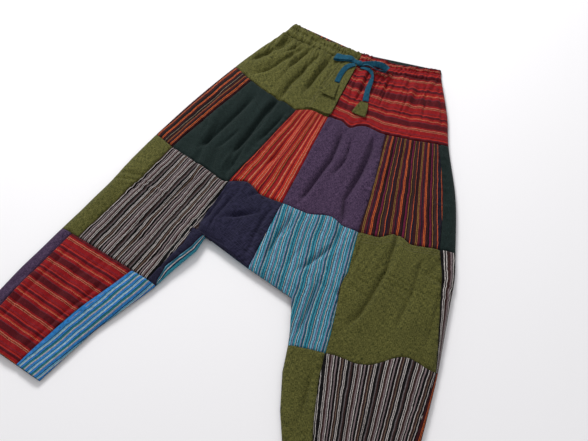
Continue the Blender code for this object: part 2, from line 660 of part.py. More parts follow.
def make_loop(half):
    """Tape that runs out from the knot, turns and comes back over itself."""
    start, middle, end = LOOPS[half]
    out = [start, middle, end]
    base = max(front_top(x, y, TAPE_WIDTH / 2) for x, y in out)
    width = [TAPE_WIDTH * 0.55, TAPE_WIDTH, TAPE_WIDTH]
    rise = LOOP_RISE * CM
    sign = 1.0 if end[0] > start[0] else -1.0
    turn_x = end[0] + sign * LOOP_RISE / 2
    path = [(*out[0], base, width[0]), (*out[1], base, width[1]), (*out[2], base, width[2]),
            (turn_x, end[1], base + rise / 2, width[2]),
            (*out[2], base + rise, width[2]), (*out[1], base + rise * 1.2, width[1]),
            (*out[0], base + rise, width[0])]
    outer, inner = [], []
    for i, (x, y, z, across) in enumerate(path):
        before, after = path[max(i - 1, 0)], path[min(i + 1, len(path) - 1)]
        dx, dz = (after[0] - before[0]) * CM, after[2] - before[2]
        size = math.hypot(dx, dz)
        nx, nz = -dz / size * TAPE / 2 / CM, dx / size * TAPE / 2
        middle_z = z + TAPE / 2
        outer.append([((x + nx) * CM, (y + s * across / 2) * CM, middle_z + nz)
                      for s in (-1.0, 0.0, 1.0)])
        inner.append([((x - nx) * CM, (y + s * across / 2) * CM, middle_z - nz)
                      for s in (-1.0, 0.0, 1.0)])
    make_wall(f"drawstring_loop_{half}", outer, inner, "teal_tape")
    return base


def make_tail(half):
    """One free end of the drawstring, and the tab sewn on it a gap further on."""
    over_fly = CLOTH + (FLY_LIFT * CM) + 2 * GAP if half == "left" else 0.0
    tail, tip = TAILS[half], TIPS[half]
    stations = tail + tip
    heights = [front_top(row.x, row.y, FLY_REACH + row.width / 2) + over_fly
               for row in stations]
    rows = strip_rows(stations, heights)
    make_strip(f"drawstring_tail_{half}", rows[:len(tail)], "teal_tape")
    dx = rows[len(tail)][1][0] - rows[len(tail) - 1][1][0]
    dy = rows[len(tail)][1][1] - rows[len(tail) - 1][1][1]
    step = GAP / math.hypot(dx, dy)
    root = [(x + dx * step, y + dy * step, z) for x, y, z in rows[len(tail) - 1]]
    make_strip(f"drawstring_tip_{half}", [root] + rows[len(tail):], "olive")


def make_knot(base):
    """A rounded lump, built from rings."""
    rings, sides = 6, 12
    points = [(0.0, 0.0, -1.0)]
    for i in range(1, rings):
        angle = math.pi * i / rings - math.pi / 2
        for j in range(sides):
            around = 2 * math.pi * j / sides
            points.append((math.cos(angle) * math.cos(around),
                           math.cos(angle) * math.sin(around), math.sin(angle)))
    points.append((0.0, 0.0, 1.0))
    faces = []
    last = len(points) - 1
    for j in range(sides):
        k = (j + 1) % sides
        faces.append((0, 1 + k, 1 + j))
        faces.append((last, last - sides + j, last - sides + k))
        for i in range(rings - 2):
            a, b = 1 + i * sides + j, 1 + i * sides + k
            faces.append((a, b, b + sides, a + sides))
    sx, sy, sz = (size * CM for size in KNOT_SIZE)
    x0, y0 = KNOT[0] * CM + ORIGIN_X, KNOT[1] * CM + ORIGIN_Y
    mesh = bpy.data.meshes.new("drawstring_knot")
    mesh.from_pydata([(x0 + x * sx, y0 + y * sy, base + sz + z * sz) for x, y, z in points],
                     [], faces)
    mesh.materials.append(make_material("teal_tape"))
    obj = bpy.data.objects.new("drawstring_knot", mesh)
    bpy.context.collection.objects.link(obj)


def make_bow():
    bases = [make_loop(half) for half in LOOPS]
    make_knot(min(bases))
    for half in TAILS:
        make_tail(half)


def main():
    clear_scene()
    for half in SECTIONS:
        make_band(half)
        make_yoke(half)
        for row in (1, 2, 3):
            make_row(half, row)
    make_fly()
    make_bow()


main()
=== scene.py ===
"""Hippie trousers, dressed: every panel of cloth with its folds, weave and stripes, the gathered
waist, the fly flap, the topstitching and the drawstring bow.

Tables are in centimetres as seen from above, with +Y towards the waist; meshes are in metres.
"""
import math
from collections import namedtuple

import bpy
import numpy as np
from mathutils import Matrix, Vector
from mathutils.bvhtree import BVHTree


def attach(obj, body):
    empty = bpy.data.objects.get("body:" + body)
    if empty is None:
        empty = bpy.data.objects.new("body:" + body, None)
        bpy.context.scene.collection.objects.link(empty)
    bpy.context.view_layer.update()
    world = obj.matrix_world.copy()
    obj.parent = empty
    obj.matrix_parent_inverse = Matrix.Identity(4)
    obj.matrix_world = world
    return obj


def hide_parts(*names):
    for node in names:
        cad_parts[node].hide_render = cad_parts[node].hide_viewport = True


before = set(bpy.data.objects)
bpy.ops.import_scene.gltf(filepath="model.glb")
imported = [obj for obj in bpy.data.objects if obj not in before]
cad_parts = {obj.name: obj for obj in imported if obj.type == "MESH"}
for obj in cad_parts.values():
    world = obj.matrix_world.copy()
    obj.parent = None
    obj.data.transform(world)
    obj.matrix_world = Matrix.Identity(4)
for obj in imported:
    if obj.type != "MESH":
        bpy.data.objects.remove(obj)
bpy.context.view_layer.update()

CM = 0.01
BODY = "root"

# Cloth and seams, in metres
CLOTH = 0.0016
GAP = 0.0003
TAPE = 0.0011
ORIGIN_X = 0.002
ORIGIN_Y = 0.0022

# Fineness of the meshes, in centimetres
FRONT_STEP = 0.21
WAIST_STEP = 0.12
BACK_STEP = 0.9

# Rim of the flattened tube
EDGE_HEIGHT = 0.5
CROTCH_LIFT = 0.6
CROTCH = (0.0, -13.4)
CROTCH_REACH = (10.0, 20.0)
BACK_ROLL = 0.8
CROTCH_ROLL = 1.7
BACK_RISE = 0.25

# Outlines: level 0 is the top of the waist, 1 the band seam, 2 the yoke seam, 3, 4 and 5 the lower
# edges of rows 1 to 3. The inner line is the centre seam, then the crotch and the inside of the leg
Section = namedtuple("Section", "level inner_x inner_y outer_x outer_y dip")
SECTIONS = {
    "left": (
        Section(0.00, 0.0, 43.9, -16.8, 46.0, 0.6),
        Section(1.00, 0.0, 40.2, -18.2, 42.2, 0.5),
        Section(1.50, 0.0, 32.6, -20.9, 36.0, 1.3),
        Section(2.00, 0.0, 24.8, -23.6, 29.3, 2.2),
        Section(2.50, 0.0, 13.5, -27.4, 17.8, 2.0),
        Section(3.00, 0.0, 1.9, -30.4, 6.6, 1.6),
        Section(3.25, 0.0, -13.4, -32.0, -0.5, 0.0),
        Section(3.45, -10.2, -10.6, -33.0, -6.5, 0.0),
        Section(3.60, -10.4, -14.0, -33.9, -10.5, 0.0),
        Section(3.80, -12.6, -19.4, -35.0, -15.2, 0.0),
        Section(4.00, -14.0, -23.3, -36.2, -19.9, 0.0),
        Section(4.20, -16.4, -28.4, -37.4, -25.0, 0.0),
        Section(4.50, -19.6, -35.0, -39.0, -31.8, 0.0),
        Section(5.00, -23.6, -47.2, -41.2, -44.4, 0.0),
    ),
    "right": (
        Section(0.00, 0.0, 43.9, 16.9, 46.4, 0.8),
        Section(1.00, 0.0, 40.2, 18.4, 43.2, 0.6),
        Section(1.50, 0.0, 32.6, 22.3, 35.2, 0.9),
        Section(2.00, 0.0, 24.8, 25.0, 28.0, 1.1),
        Section(2.50, 0.0, 13.5, 30.2, 16.8, 1.3),
        Section(3.00, 0.0, 1.9, 34.0, 5.3, 1.5),
        Section(3.25, 0.0, -13.4, 35.5, 0.3, 0.0),
        Section(3.45, 9.7, -15.6, 36.4, -5.0, 0.0),
        Section(3.60, 10.7, -18.0, 37.0, -8.6, 0.0),
        Section(3.80, 12.0, -21.4, 37.8, -13.4, 0.0),
        Section(4.00, 12.8, -24.0, 38.6, -18.2, 0.4),
        Section(4.20, 13.9, -28.8, 39.2, -23.4, 0.2),
        Section(4.50, 16.4, -35.2, 39.9, -30.8, 0.0),
        Section(5.00, 22.6, -46.8, 40.8, -43.4, 0.0),
    ),
}

# Column seams, as shares of the way from the inner line to the outer edge
Seam = namedtuple("Seam", "level first second back")
SEAMS = {
    ("left", 1): (Seam(2.0, 0.28, 0.785, 0.5), Seam(3.0, 0.38, 0.845, 0.5)),
    ("left", 2): (Seam(3.0, 0.38, 0.845, 0.5), Seam(3.25, 0.394, 0.853, 0.5),
                  Seam(3.45, 0.13, 0.81, 0.32), Seam(4.0, 0.08, 0.815, 0.37)),
    ("left", 3): (Seam(4.0, 0.24, 0.88, 0.42), Seam(5.0, 0.30, 0.86, 0.46)),
    ("right", 1): (Seam(2.0, 0.495, 0.925, 0.5), Seam(3.0, 0.462, 0.912, 0.5)),
    ("right", 2): (Seam(3.0, 0.462, 0.912, 0.5), Seam(3.25, 0.483, 0.935, 0.5),
                   Seam(3.45, 0.295, 0.935, 0.36), Seam(4.0, 0.255, 0.985, 0.40)),
    ("right", 3): (Seam(4.0, 0.255, 0.985, 0.42), Seam(4.5, 0.245, 0.955, 0.44),
                   Seam(5.0, 0.22, 0.92, 0.46)),
}

# Centimetres of cloth down the garment at each level
ALONG = ((0.0, 0.0), (1.0, 3.7), (2.0, 18.6), (3.0, 41.4), (4.0, 66.5), (5.0, 93.5))

Height = namedtuple("Height", "y height rim")
HEIGHTS = (
    Height(48.0, 0.75, 0.7), Height(42.0, 0.85, 0.9), Height(37.0, 1.25, 1.8),
    Height(25.0, 1.5, 2.2), Height(5.0, 1.7, 2.3), Height(-12.0, 1.9, 2.4),
    Height(-24.0, 1.6, 2.3), Height(-36.0, 1.4, 2.2), Height(-48.0, 0.9, 1.8),
)

# Places where a row seam is drawn up or down by the cloth's waves
Wave = namedtuple("Wave", "x y reach_x reach_y rise")
WAVES = (
    Wave(-7.0, 24.4, 3.0, 6.0, -0.7), Wave(-3.6, 25.0, 3.4, 6.0, 0.6),
    Wave(5.0, 24.4, 2.2, 6.0, -0.9), Wave(8.0, 25.5, 3.4, 6.0, 0.7),
    Wave(-8.2, 2.5, 4.2, 8.0, 1.5), Wave(-13.5, 2.2, 3.0, 8.0, -0.4),
    Wave(9.5, 2.0, 4.6, 8.0, 1.2), Wave(22.6, 3.2, 3.4, 8.0, 1.6),
    Wave(25.5, -22.0, 5.0, 8.0, -0.8), Wave(32.6, -19.5, 5.6, 8.0, 1.9),
)

# Broad folds of the front, the same as the solids': points along each, half its width, its depth
Fold = namedtuple("Fold", "points reach depth")
FOLDS = (
    Fold(((-15.0, 41.8), (-17.9, 36.0), (-21.4, 31.0)), 1.3, 0.45),
    Fold(((-12.0, 41.0), (-14.8, 34.6), (-19.4, 28.4)), 1.4, 0.50),
    Fold(((-10.4, 40.4), (-13.0, 32.4)), 1.1, 0.35),
    Fold(((-7.9, 39.8), (-10.7, 29.4), (-11.4, 24.6), (-12.3, 19.0)), 1.3, 0.55),
    Fold(((-5.4, 39.6), (-6.5, 33.5), (-7.2, 27.4)), 1.1, 0.45),
    Fold(((5.2, 39.6), (5.8, 34.0), (5.0, 26.6)), 1.2, 0.35),
    Fold(((9.6, 40.8), (10.6, 34.5), (11.0, 27.6)), 1.2, 0.35),
    Fold(((13.6, 42.2), (15.2, 35.0), (16.0, 27.4)), 1.2, 0.40),
    Fold(((16.4, 42.4), (18.6, 36.4), (20.4, 29.4)), 1.1, 0.30),
    Fold(((-16.0, 24.6), (-17.9, 16.0), (-21.2, 6.0)), 1.5, 0.45),
    Fold(((-11.4, 24.0), (-12.6, 16.4), (-14.4, 7.0)), 1.3, 0.60),
    Fold(((-8.4, 23.0), (-10.2, 14.6), (-12.4, 4.0)), 1.5, 0.45),
    Fold(((-19.4, 26.0), (-22.4, 16.0), (-25.0, 7.0)), 1.3, 0.35),
    Fold(((-5.0, 22.6), (-5.4, 13.0), (-7.4, 5.6)), 1.4, 0.40),
    Fold(((-2.2, 23.6), (-2.4, 13.0), (-3.4, 4.4)), 1.2, 0.35),
    Fold(((4.4, 23.4), (4.7, 15.5), (2.8, 3.4)), 1.3, 0.55),
    Fold(((7.0, 22.6), (7.2, 16.0), (6.2, 10.0)), 1.2, 0.30),
    Fold(((10.8, 24.4), (11.3, 15.0), (11.6, 8.0), (12.6, 0.6), (13.0, -4.0)), 1.5, 0.60),
    Fold(((17.4, 24.6), (19.2, 15.0), (22.2, 5.0)), 1.3, 0.35),
    Fold(((22.4, 10.0), (23.0, 3.4), (23.3, -4.0), (22.2, -13.0), (20.6, -18.0)), 1.4, 0.45),
    Fold(((22.2, 25.6), (26.0, 15.0), (27.8, 8.0)), 1.2, 0.30),
    Fold(((-4.8, 3.2), (-7.0, -0.6)), 1.0, 0.30),
    Fold(((-2.6, -1.6), (-9.6, -6.0)), 1.1, 0.35),
    Fold(((-11.2, 1.0), (-11.7, -6.0), (-13.4, -13.0)), 1.1, 0.35),
    Fold(((-15.0, 1.4), (-18.0, -9.0), (-21.8, -19.0)), 2.4, 0.60),
    Fold(((-21.6, 3.0), (-24.6, -8.0), (-28.4, -20.0)), 1.8, 0.35),
    Fold(((2.9, 1.4), (2.1, -5.0), (2.4, -11.0)), 1.3, 0.45),
    Fold(((13.2, -2.4), (10.9, -6.1), (8.0, -11.4)), 1.3, 0.45),
    Fold(((13.0, -9.0), (13.4, -15.6), (13.7, -23.0)), 1.3, 0.50),
    Fold(((17.8, -25.0), (19.8, -33.4), (20.4, -40.0)), 1.4, 0.35),
    Fold(((24.6, -24.0), (27.6, -34.0), (28.6, -44.0)), 1.9, 0.45),
    Fold(((33.4, -20.6), (33.6, -30.0), (33.2, -42.0)), 1.9, 0.45),
    Fold(((-18.6, -26.0), (-22.4, -36.0), (-26.0, -45.0)), 1.6, 0.40),
    Fold(((-27.4, -24.0), (-30.4, -35.0), (-32.6, -45.0)), 1.9, 0.45),
    Fold(((-35.0, -12.0), (-36.6, -26.0), (-38.6, -40.0)), 1.4, 0.25),
)
FOLD_END = 4.0

# Sharp creases inside and beside the broad folds; below zero the depth makes a ridge
CREASES = (
    Fold(((-15.7, 41.9), (-17.1, 39.2), (-18.4, 35.9)), 0.7, 0.30),
    Fold(((-15.0, 41.7), (-17.6, 36.8), (-21.1, 31.6)), 0.8, 0.40),
    Fold(((-12.6, 41.8), (-14.6, 37.7), (-16.1, 36.2)), 0.7, 0.32),
    Fold(((-11.8, 40.4), (-14.8, 34.6), (-16.3, 31.5), (-19.1, 28.4)), 0.8, 0.45),
    Fold(((-10.4, 40.3), (-11.4, 37.6), (-12.9, 32.7)), 0.7, 0.32),
    Fold(((-7.9, 39.6), (-9.4, 34.7), (-10.7, 29.4), (-10.9, 24.6)), 0.8, 0.45),
    Fold(((-5.4, 39.4), (-6.5, 33.5), (-7.1, 27.8)), 0.8, 0.40),
    Fold(((-16.0, 23.3), (-17.9, 16.0), (-19.9, 8.9), (-21.0, 6.3)), 0.9, 0.40),
    Fold(((-11.1, 25.1), (-12.3, 20.2), (-13.0, 13.1), (-14.2, 7.7)), 0.9, 0.50),
    Fold(((-11.7, 19.9), (-11.8, 16.5), (-12.7, 13.8)), 0.7, 0.30),
    Fold(((-15.0, 14.5), (-16.7, 9.6), (-17.5, 8.1)), 0.8, 0.35),
    Fold(((-8.3, 22.0), (-10.0, 15.2), (-10.7, 12.4)), 0.8, 0.40),
    Fold(((-12.5, 12.7), (-12.6, 7.0), (-13.0, 2.9)), 0.8, 0.35),
    Fold(((-14.0, 12.9), (-14.2, 7.0), (-14.6, 3.2)), 1.1, -0.25),
    Fold(((-5.1, 14.7), (-5.5, 11.3), (-7.0, 8.2)), 0.8, 0.30),
    Fold(((-4.7, 3.4), (-5.0, 2.2), (-6.4, 0.7), (-6.9, -0.4)), 0.7, 0.35),
    Fold(((-2.7, -1.7), (-5.7, -3.4), (-9.5, -6.0)), 0.8, 0.40),
    Fold(((-11.0, 0.9), (-11.5, -2.4), (-11.8, -6.1), (-13.0, -9.2)), 0.7, 0.35),
    Fold(((-8.9, 1.0), (-9.6, -2.1), (-10.4, -6.3), (-10.4, -10.1)), 0.7, 0.32),
    Fold(((-1.1, 1.1), (-1.7, -2.4), (-1.8, -7.0), (-1.5, -9.9), (-2.0, -11.7)), 0.8, 0.35),
    Fold(((2.9, 1.9), (2.7, -1.5), (2.1, -5.4), (2.0, -8.7), (2.5, -13.1)), 0.8, 0.40),
    Fold(((4.4, 0.7), (3.2, -4.0), (1.7, -5.7)), 0.7, 0.30),
    Fold(((11.3, 2.6), (12.5, 0.2), (12.8, -2.9)), 0.8, 0.40),
    Fold(((13.1, -1.4), (10.9, -6.1), (8.5, -10.7)), 0.9, 0.40),
    Fold(((12.9, -9.9), (13.4, -15.6), (13.6, -22.2)), 0.8, 0.40),
    Fold(((4.3, 22.3), (4.7, 15.5), (2.8, 2.4)), 0.8, 0.45),
    Fold(((6.4, 21.8), (7.4, 16.7), (6.3, 11.5)), 0.8, 0.35),
    Fold(((10.4, 23.9), (11.3, 20.0), (11.2, 13.7), (10.7, 7.7), (12.5, 2.1)), 0.9, 0.50),
    Fold(((21.9, 6.3), (22.9, 3.5), (23.2, 0.1), (23.4, -3.5), (22.9, -9.8), (22.2, -14.0),
          (21.1, -17.0)), 0.9, 0.38),
    Fold(((18.6, -26.4), (19.8, -33.4), (20.5, -35.3)), 0.8, 0.35),
    Fold(((22.6, -36.4), (20.8, -38.4)), 0.8, 0.30),
    Fold(((3.2, 39.8), (3.9, 35.0), (3.4, 29.0)), 0.7, 0.30),
    Fold(((7.6, 40.2), (8.5, 35.5), (8.6, 30.0)), 0.7, 0.28),
    Fold(((11.9, 41.2), (13.1, 36.0), (13.4, 29.5)), 0.7, 0.32),
    Fold(((15.2, 41.9), (17.0, 36.5), (18.2, 30.5)), 0.7, 0.30),
    Fold(((17.6, 42.6), (20.4, 36.6), (22.6, 30.4)), 0.7, 0.28),
    Fold(((-22.6, 22.6), (-24.6, 15.6), (-26.4, 10.0)), 0.8, 0.30),
    Fold(((-25.0, 24.0), (-27.4, 16.4), (-29.4, 8.4)), 0.8, 0.28),
    Fold(((15.2, 23.6), (16.4, 15.0), (17.6, 7.0)), 0.8, 0.30),
    Fold(((20.2, 24.4), (23.0, 14.4), (25.4, 6.4)), 0.8, 0.30),
    Fold(((25.6, 24.0), (29.0, 14.6), (31.4, 7.0)), 0.8, 0.28),
    Fold(((17.0, 1.6), (17.6, -6.0), (17.0, -14.0)), 0.9, 0.25),
    Fold(((28.6, 2.6), (29.4, -6.0), (29.0, -15.0)), 1.0, 0.28),
    Fold(((33.4, 2.0), (34.4, -7.0), (35.2, -15.0)), 0.9, 0.25),
    Fold(((6.6, 0.8), (7.4, -5.0), (6.2, -11.0)), 0.8, 0.25),
    Fold(((-17.6, 2.0), (-20.4, -7.0), (-24.6, -17.6)), 1.0, 0.35),
    Fold(((-25.4, 3.6), (-27.6, -6.0), (-30.6, -16.6)), 1.0, 0.32),
    Fold(((-13.6, -11.0), (-16.0, -16.6), (-18.4, -21.6)), 0.8, 0.30),
    Fold(((22.6, -24.6), (25.2, -33.0), (27.0, -41.0)), 1.0, 0.35),
    Fold(((29.6, -22.0), (30.6, -31.0), (31.0, -41.0)), 1.0, 0.30),
    Fold(((36.4, -22.0), (36.8, -31.0), (37.2, -40.0)), 0.9, 0.25),
    Fold(((-22.6, -26.0), (-26.4, -35.0), (-29.4, -44.0)), 1.0, 0.32),
    Fold(((-32.0, -22.0), (-34.4, -32.0), (-36.6, -42.0)), 1.0, 0.28),
)

# Soft waves all over the front, in centimetres
SWELL = 0.07
SWELL_ACROSS, SWELL_ALONG = 8.3, 13.7

# Noise that creases the cloth: height, lengths across and along, and the share left smooth
Crinkle = namedtuple("Crinkle", "height across along seed smooth")
CRINKLES = (
    Crinkle(0.55, 3.6, 19.0, 11, 0.30),
    Crinkle(0.34, 1.9, 11.0, 23, 0.38),
    Crinkle(0.14, 0.9, 4.5, 37, 0.35),
)
CREASE_DEPTH = 1.5      # the creases' depths are multiplied by this
SEAM_DEPTH = 0.20       # how far a seam is drawn down
SEAM_REACH = 0.22
PUCKER = 0.20           # height of the puckers beside a seam
PUCKER_REACH = 1.1
PUCKER_LENGTH = 0.75

# Gathers at the waist
GATHER = 0.95
GATHER_ACROSS = 0.85
GATHER_FADE = 14.0      # centimetres below the band
BAND_GATHER = 0.42
BAND_PUFF = 0.30        # each of the band's two elastic channels

FOLD_TAKE = 0.6         # share of the cloth in a fold that shows in the stripes

# Fly flap, over the left yoke beside the centre seam
FLY_TOP, FLY_BOTTOM = 39.6, 25.4
FLY_LEFT = (-3.5, -5.2)
FLY_RIGHT = 0.4
FLY_LIFT = (0.04, 0.30)     # above the yoke, at its stitched side and at its free side
FLY_LEVELS = (1.02, 1.985)
FLY_COLUMNS = 34
FLY_CRINKLE, FLY_GATHER = 0.4, 0.55     # shares of the yoke's creases and gathers
FLY_GROOVE = 0.10       # where the stitches draw it down

# Drawstring: points from above, how far above the cloth, width and tilt in degrees
Station = namedtuple("Station", "x y rise width tilt")
LOOP_LEFT = (
    Station(0.6, 40.30, 0.15, 0.8, 0), Station(-1.0, 40.25, 0.12, 1.1, 0),
    Station(-2.6, 40.00, 0.06, 1.4, 0), Station(-4.4, 39.80, 0.05, 1.6, 0),
    Station(-4.75, 39.85, 0.22, 1.6, 0), Station(-4.4, 39.95, 0.38, 1.6, 0),
    Station(-2.6, 40.25, 0.42, 1.4, 0), Station(-1.0, 40.45, 0.40, 1.1, 0),
    Station(0.5, 40.40, 0.35, 0.8, 0),
)
LOOP_RIGHT = (
    Station(0.9, 40.3, 0.20, 0.7, -15), Station(2.5, 41.0, 0.15, 1.1, -25),
    Station(4.3, 41.5, 0.10, 1.3, -30), Station(5.9, 41.4, 0.10, 1.3, -40),
    Station(6.85, 40.9, 0.10, 1.2, -60), Station(7.0, 40.25, 0.10, 1.2, -70),
    Station(6.4, 39.75, 0.10, 1.1, -70), Station(5.2, 39.6, 0.10, 1.0, -60),
    Station(3.7, 39.85, 0.12, 0.9, -50), Station(2.4, 40.05, 0.15, 0.8, -35),
    Station(1.2, 40.1, 0.20, 0.7, -15),
)
TAILS = {
    "left": (Station(0.1, 39.45, 0.10, 0.8, 0), Station(-0.8, 38.8, 0.06, 1.1, 0),
             Station(-1.45, 37.6, 0.04, 1.1, 12), Station(-1.75, 35.6, 0.04, 1.1, 15),
             Station(-1.7, 33.4, 0.04, 1.1, 0)),
    "right": (Station(1.3, 39.5, 0.10, 0.6, 0), Station(2.5, 39.2, 0.06, 0.8, 0),
              Station(3.7, 38.9, 0.05, 0.8, -20), Station(4.5, 38.0, 0.05, 0.7, -45),
              Station(4.8, 36.4, 0.04, 1.0, -15), Station(5.0, 34.0, 0.04, 1.1, 0),
              Station(5.6, 31.2, 0.04, 1.3, 0)),
}
TIPS = {
    "left": (Station(-1.7, 33.1, 0.10, 1.2, 0), Station(-1.85, 31.9, 0.12, 1.9, 0),
             Station(-2.05, 30.4, 0.18, 2.7, 0), Station(-2.2, 29.1, 0.22, 3.4, 0)),
    "right": (Station(5.6, 30.9, 0.10, 1.3, 0), Station(5.6, 30.2, 0.10, 2.0, 0),
              Station(5.6, 28.8, 0.12, 2.6, 0), Station(5.55, 27.3, 0.15, 3.0, 0)),
}
KNOT = (0.75, 40.2)
KNOT_SIZE = (0.80, 0.72, 0.45)
KNOT_RINGS, KNOT_SIDES = 18, 30
WRAP_DEPTH = 0.07

# Stitches, in metres
STITCH_PITCH = 0.0034
STITCH_LENGTH = 0.0024
STITCH_THICK = 0.0006
FLY_STITCHES = (0.30, 0.85)             # centimetres in from the flap's left side
OLIVE_STITCHES = (3.035, 3.055)         # levels of the olive panel's double line
OLIVE_STITCH_ENDS = (0.475, 0.905)      # its ends, as shares of the width

# Left row 2: how far the panel behind turns round the inside of the leg, by level
TURN_LEVELS = (3.27, 3.45, 3.60, 3.80, 3.95, 3.99)
TURN_WIDTHS = (0.0, 0.5, 1.1, 1.4, 0.5, 0.0)

# Camera and light
AZIMUTH = 24.0
ELEVATION = 60.0
DISTANCE = 1.57
LENS = 50.0
AIM_X = 0.033
FLOOR = (0.90, 0.89, 0.90)


def smooth_step(value, start, end):
    t = np.clip((value - start) / (end - start), 0.0, 1.0)
    return t * t * (3.0 - 2.0 * t)


def bell(value):
    """1 at 0, falling smoothly to 0 at 1 and beyond."""
    return 1.0 - smooth_step(np.abs(value), 0.0, 1.0)


def column_of(rows, name):
    return np.array([getattr(row, name) for row in rows])


def read_table(rows, key, at, column):
    """A column of a table, read between its rows."""
    keys = column_of(rows, key)
    order = np.argsort(keys)
    return np.interp(at, keys[order], column_of(rows, column)[order])


def read_smooth(rows, level, column):
    """The same by a smooth curve through the rows."""
    levels, values = column_of(rows, "level"), column_of(rows, column)
    last = len(rows) - 1
    low = np.maximum(np.arange(last + 1) - 1, 0)
    high = np.minimum(np.arange(last + 1) + 1, last)
    slopes = (values[high] - values[low]) / (levels[high] - levels[low])
    i = np.clip(np.searchsorted(levels, level) - 1, 0, last - 1)
    span = levels[i + 1] - levels[i]
    t = (level - levels[i]) / span
    return (values[i] * (1 + 2 * t) * (1 - t) ** 2 + slopes[i] * span * t * (1 - t) ** 2
            + values[i + 1] * t * t * (3 - 2 * t) + slopes[i + 1] * span * t * t * (t - 1))


def value_noise(u, v, seed):
    """Smooth noise from -1 to 1, one cell to each unit."""
    size = 61
    table = np.random.RandomState(seed).uniform(-1.0, 1.0, (size, size))
    iu, iv = np.floor(u).astype(int), np.floor(v).astype(int)
    fu, fv = u - iu, v - iv
    fu, fv = fu * fu * (3.0 - 2.0 * fu), fv * fv * (3.0 - 2.0 * fv)
    a, b = iu % size, iv % size
    c, d = (iu + 1) % size, (iv + 1) % size
    return ((table[a, b] * (1 - fu) + table[c, b] * fu) * (1 - fv)
            + (table[a, d] * (1 - fu) + table[c, d] * fu) * fv)


def plan_point(half, level, share, front=True):
    """Where a level and a share of the width fall, seen from above."""
    rows = SECTIONS[half]
    inner_x = read_table(rows, "level", level, "inner_x")
    inner_y = read_table(rows, "level", level, "inner_y")
    outer_x = read_smooth(rows, level, "outer_x")
    outer_y = read_smooth(rows, level, "outer_y")
    x = inner_x + (outer_x - inner_x) * share
    y = inner_y + (outer_y - inner_y) * share
    sag = read_table(rows, "level", level, "dip") * 4.0 * share * (1.0 - share)
    if not front:
        waist = 1.0 - smooth_step(level, 0.0, 2.0)
        return x, y - sag * waist + BACK_RISE * (1.0 - smooth_step(level, 0.0, 1.0))
    y = y - sag
    for wave in WAVES:
        y = y + wave.rise * bell((x - wave.x) / wave.reach_x) * bell((y - wave.y) / wave.reach_y)
    return x, y


def width_at(half, level):
    """Width of the flattened tube, from its inner line to its outer edge."""
    ax, ay = plan_point(half, level, 0.0, False)
    bx, by = plan_point(half, level, 1.0, False)
    return np.hypot(bx - ax, by - ay)


def along_at(level):
    return np.interp(level, *zip(*ALONG))


def build_edges():
    """Short lengths of the cloth's edges, each with the side on which it faces out."""
    crotch_level, last_level, steps = 3.25, 5.0, 60
    lines = (("left", 0.0, 1.0, 1.0), ("right", 0.0, 1.0, -1.0),
             ("left", crotch_level, 0.0, -1.0), ("right", crotch_level, 0.0, 1.0))
    edges = []
    for half, first_level, share, side in lines:
        levels = set(np.linspace(first_level, last_level, steps + 1))
        levels |= {row.level for row in SECTIONS[half] if row.level > first_level}
        levels = np.array(sorted(levels))
        line = np.stack(plan_point(half, levels, share + 0.0 * levels), axis=1)
        edges += [(start, end, side) for start, end in zip(line, line[1:])]
    return edges


EDGES = build_edges()


def nearest_on(start, end, x, y):
    dx, dy = end[0] - start[0], end[1] - start[1]
    size = math.hypot(dx, dy)
    t = np.clip(((x - start[0]) * dx + (y - start[1]) * dy) / (size * size), 0.0, 1.0)
    return start[0] + dx * t, start[1] + dy * t, t, size


def edge_distance(x, y):
    """Distance to the nearest edge of the cloth and the direction out to it."""
    best = np.full(x.shape, 1e9)
    out_x, out_y = np.zeros(x.shape), np.zeros(x.shape)
    touching = 0.03
    for start, end, side in EDGES:
        px, py, _, size = nearest_on(start, end, x, y)
        distance = np.hypot(px - x, py - y)
        closer = distance < best
        near = distance <= touching
        safe = np.maximum(distance, 1e-9)
        nx, ny = (end[1] - start[1]) / size * side, (start[0] - end[0]) / size * side
        best = np.where(closer, np.where(near, 0.0, distance), best)
        out_x = np.where(closer, np.where(near, nx, (px - x) / safe), out_x)
        out_y = np.where(closer, np.where(near, ny, (py - y) / safe), out_y)
    return best, out_x, out_y


def edge_height(x, y):
    lift = 1.0 - smooth_step(np.hypot(x - CROTCH[0], y - CROTCH[1]), *CROTCH_REACH)
    return EDGE_HEIGHT + CROTCH_LIFT * lift, BACK_ROLL + CROTCH_ROLL * lift


def fold_depth(x, y, folds, shape):
    """How far a set of folds draws the front down."""
    total = np.zeros(x.shape)
    for fold in folds:
        best, along, run = np.full(x.shape, 1e9), np.zeros(x.shape), 0.0
        for start, end in zip(fold.points, fold.points[1:]):
            px, py, t, length = nearest_on(start, end, x, y)
            distance = np.hypot(px - x, py - y)
            along = np.where(distance < best, run + t * length, along)
            best = np.minimum(best, distance)
            run += length
        ends = np.minimum(along, run - along) / FOLD_END + 0.15
        total += fold.depth * shape(best / fold.reach) * smooth_step(ends, 0.0, 1.0)
    return total


def crease_shape(value):
    """Sharp at the bottom and soft at the shoulders."""
    t = np.clip(1.0 - value, 0.0, 1.0)
    return t * t


def crinkle_height(across, along):
    """Long creases that run down the garment."""
    drift = 1.4 * value_noise(across / 8.0, along / 9.0, 3)
    total = np.zeros(across.shape)
    for crinkle in CRINKLES:
        noise = value_noise((across + drift) / crinkle.across, along / crinkle.along, crinkle.seed)
        where = value_noise(across / 6.0, along / 10.0, crinkle.seed + 1)
        amount = smooth_step(where, 2.0 * crinkle.smooth - 1.2, 0.8)
        total += crinkle.height * (np.abs(noise) - 0.4) * amount
    return total


